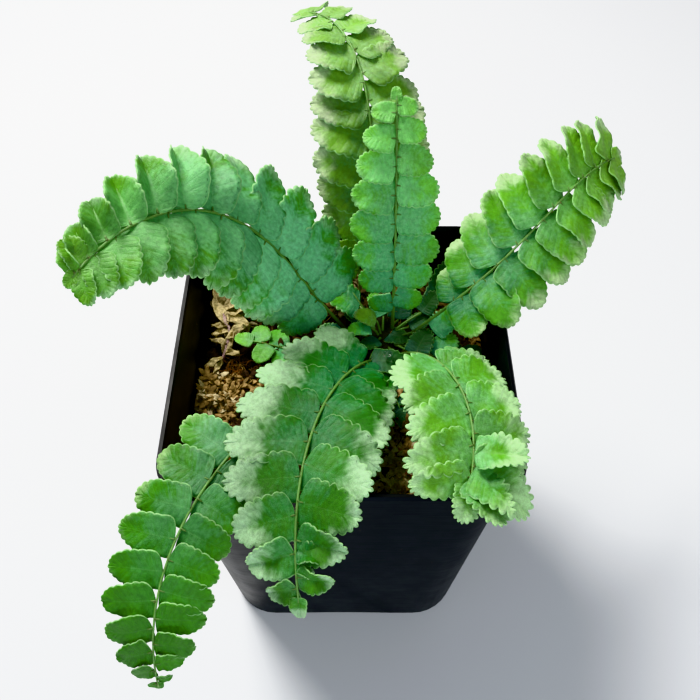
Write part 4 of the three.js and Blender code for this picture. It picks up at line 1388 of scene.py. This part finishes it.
crownSet = {
    "centre": (11.5, 15, 84.5),
    "size": (12, 11, 7),
    "rough": 0.05,
    # bark and scale: the crown's own dark tone, deepened to near black as painted shade at the plant's
    # middle
    "bark": colour(14, 18, 10),
    "scale": colour(34, 36, 20),
    "scales": 120,
    "scaleRadius": 0.16,
    "scaleLength": (1.0, 2.4),
    "roots": 5,
    "rootSteps": 8,
    "rootSpread": (5, 13),  # how far out they start, and how much further they end
    "rootRadius": 1,
    "rootSides": 5,
    "rootWave": 1.5,
    "rootTaper": 0.4,
    "rootLength": 44,
}


def buildCrown(values):
    draw = random.Random(31)
    crown = bmesh.new()
    bmesh.ops.create_icosphere(crown, subdivisions=4, radius=1)
    centre, size = Vector(values["centre"]), values["size"]
    for vert in crown.verts:
        unit = vert.co.copy()
        rough = 1 + values["rough"] * noise.fractal(unit * 4, 0.9, 2.1, 4)
        vert.co = (centre + stretched(unit, [side * rough for side in size])) * mm
    for _ in range(values["scales"]):
        angle, rise = draw.uniform(0, math.tau), math.asin(draw.uniform(0.1, 1))
        unit = towards(angle, rise)
        foot = centre + stretched(unit, size)
        aim = (unit + Vector((draw.uniform(-0.6, 0.6), draw.uniform(-0.6, 0.6), 0.4))).normalized()
        length = draw.uniform(*values["scaleLength"])
        bristle(crown, foot * mm, aim, length * mm, values["scaleRadius"] * mm, 1)
    steps, (near, further) = values["rootSteps"], values["rootSpread"]
    for i in range(values["roots"]):
        angle = (i + 0.5) / values["roots"] * math.tau
        path = []
        for k in range(steps + 1):
            down = k / steps
            out = near + further * down + values["rootWave"] * math.sin(down * 6 + i)
            side = Vector((math.cos(angle) * out, math.sin(angle) * out, -values["rootLength"] * down))
            path.append((centre + side) * mm)
        radius, taper = values["rootRadius"], values["rootTaper"]
        radii = [radius * (1 - taper * k / steps) * mm for k in range(steps + 1)]
        sweepTube(crown, path, radii, values["rootSides"])
    # near black: painted shade at the middle of the plant
    tones = (values["bark"], values["scale"])
    bark = mottledMaterial("crownBarkPaintedShade", tones, size=180.0, rough=(0.75, 0.95), specular=0.25, relief=0.5)
    finishPiece(crown, "crown_stock", [bark, scaleHair], ["crown"])


buildCrown(crownSet)
print("crown ready")

# Floor.

floorSet = {"half": 2500, "tone": colour(226, 227, 229), "shade": colour(222, 223, 226)}


def buildFloor(values):
    ground = bmesh.new()
    bmesh.ops.create_grid(ground, x_segments=2, y_segments=2, size=values["half"] * mm)
    mesh = bpy.data.meshes.new("studioFloor")
    ground.to_mesh(mesh)
    ground.free()
    material, tree, shader = newMaterial("studioFloor", Roughness=0.85, Specular_IOR_Level=0.2)
    paper = useGroup(tree, mottle, Size=3.0)
    tree.links.new(blendColour(tree, paper["Blotch"], values["tone"], values["shade"]), shader["Base Color"])
    mesh.materials.append(material)
    floor = bpy.data.objects.new("studioFloor", mesh)
    bpy.context.scene.collection.objects.link(floor)


buildFloor(floorSet)
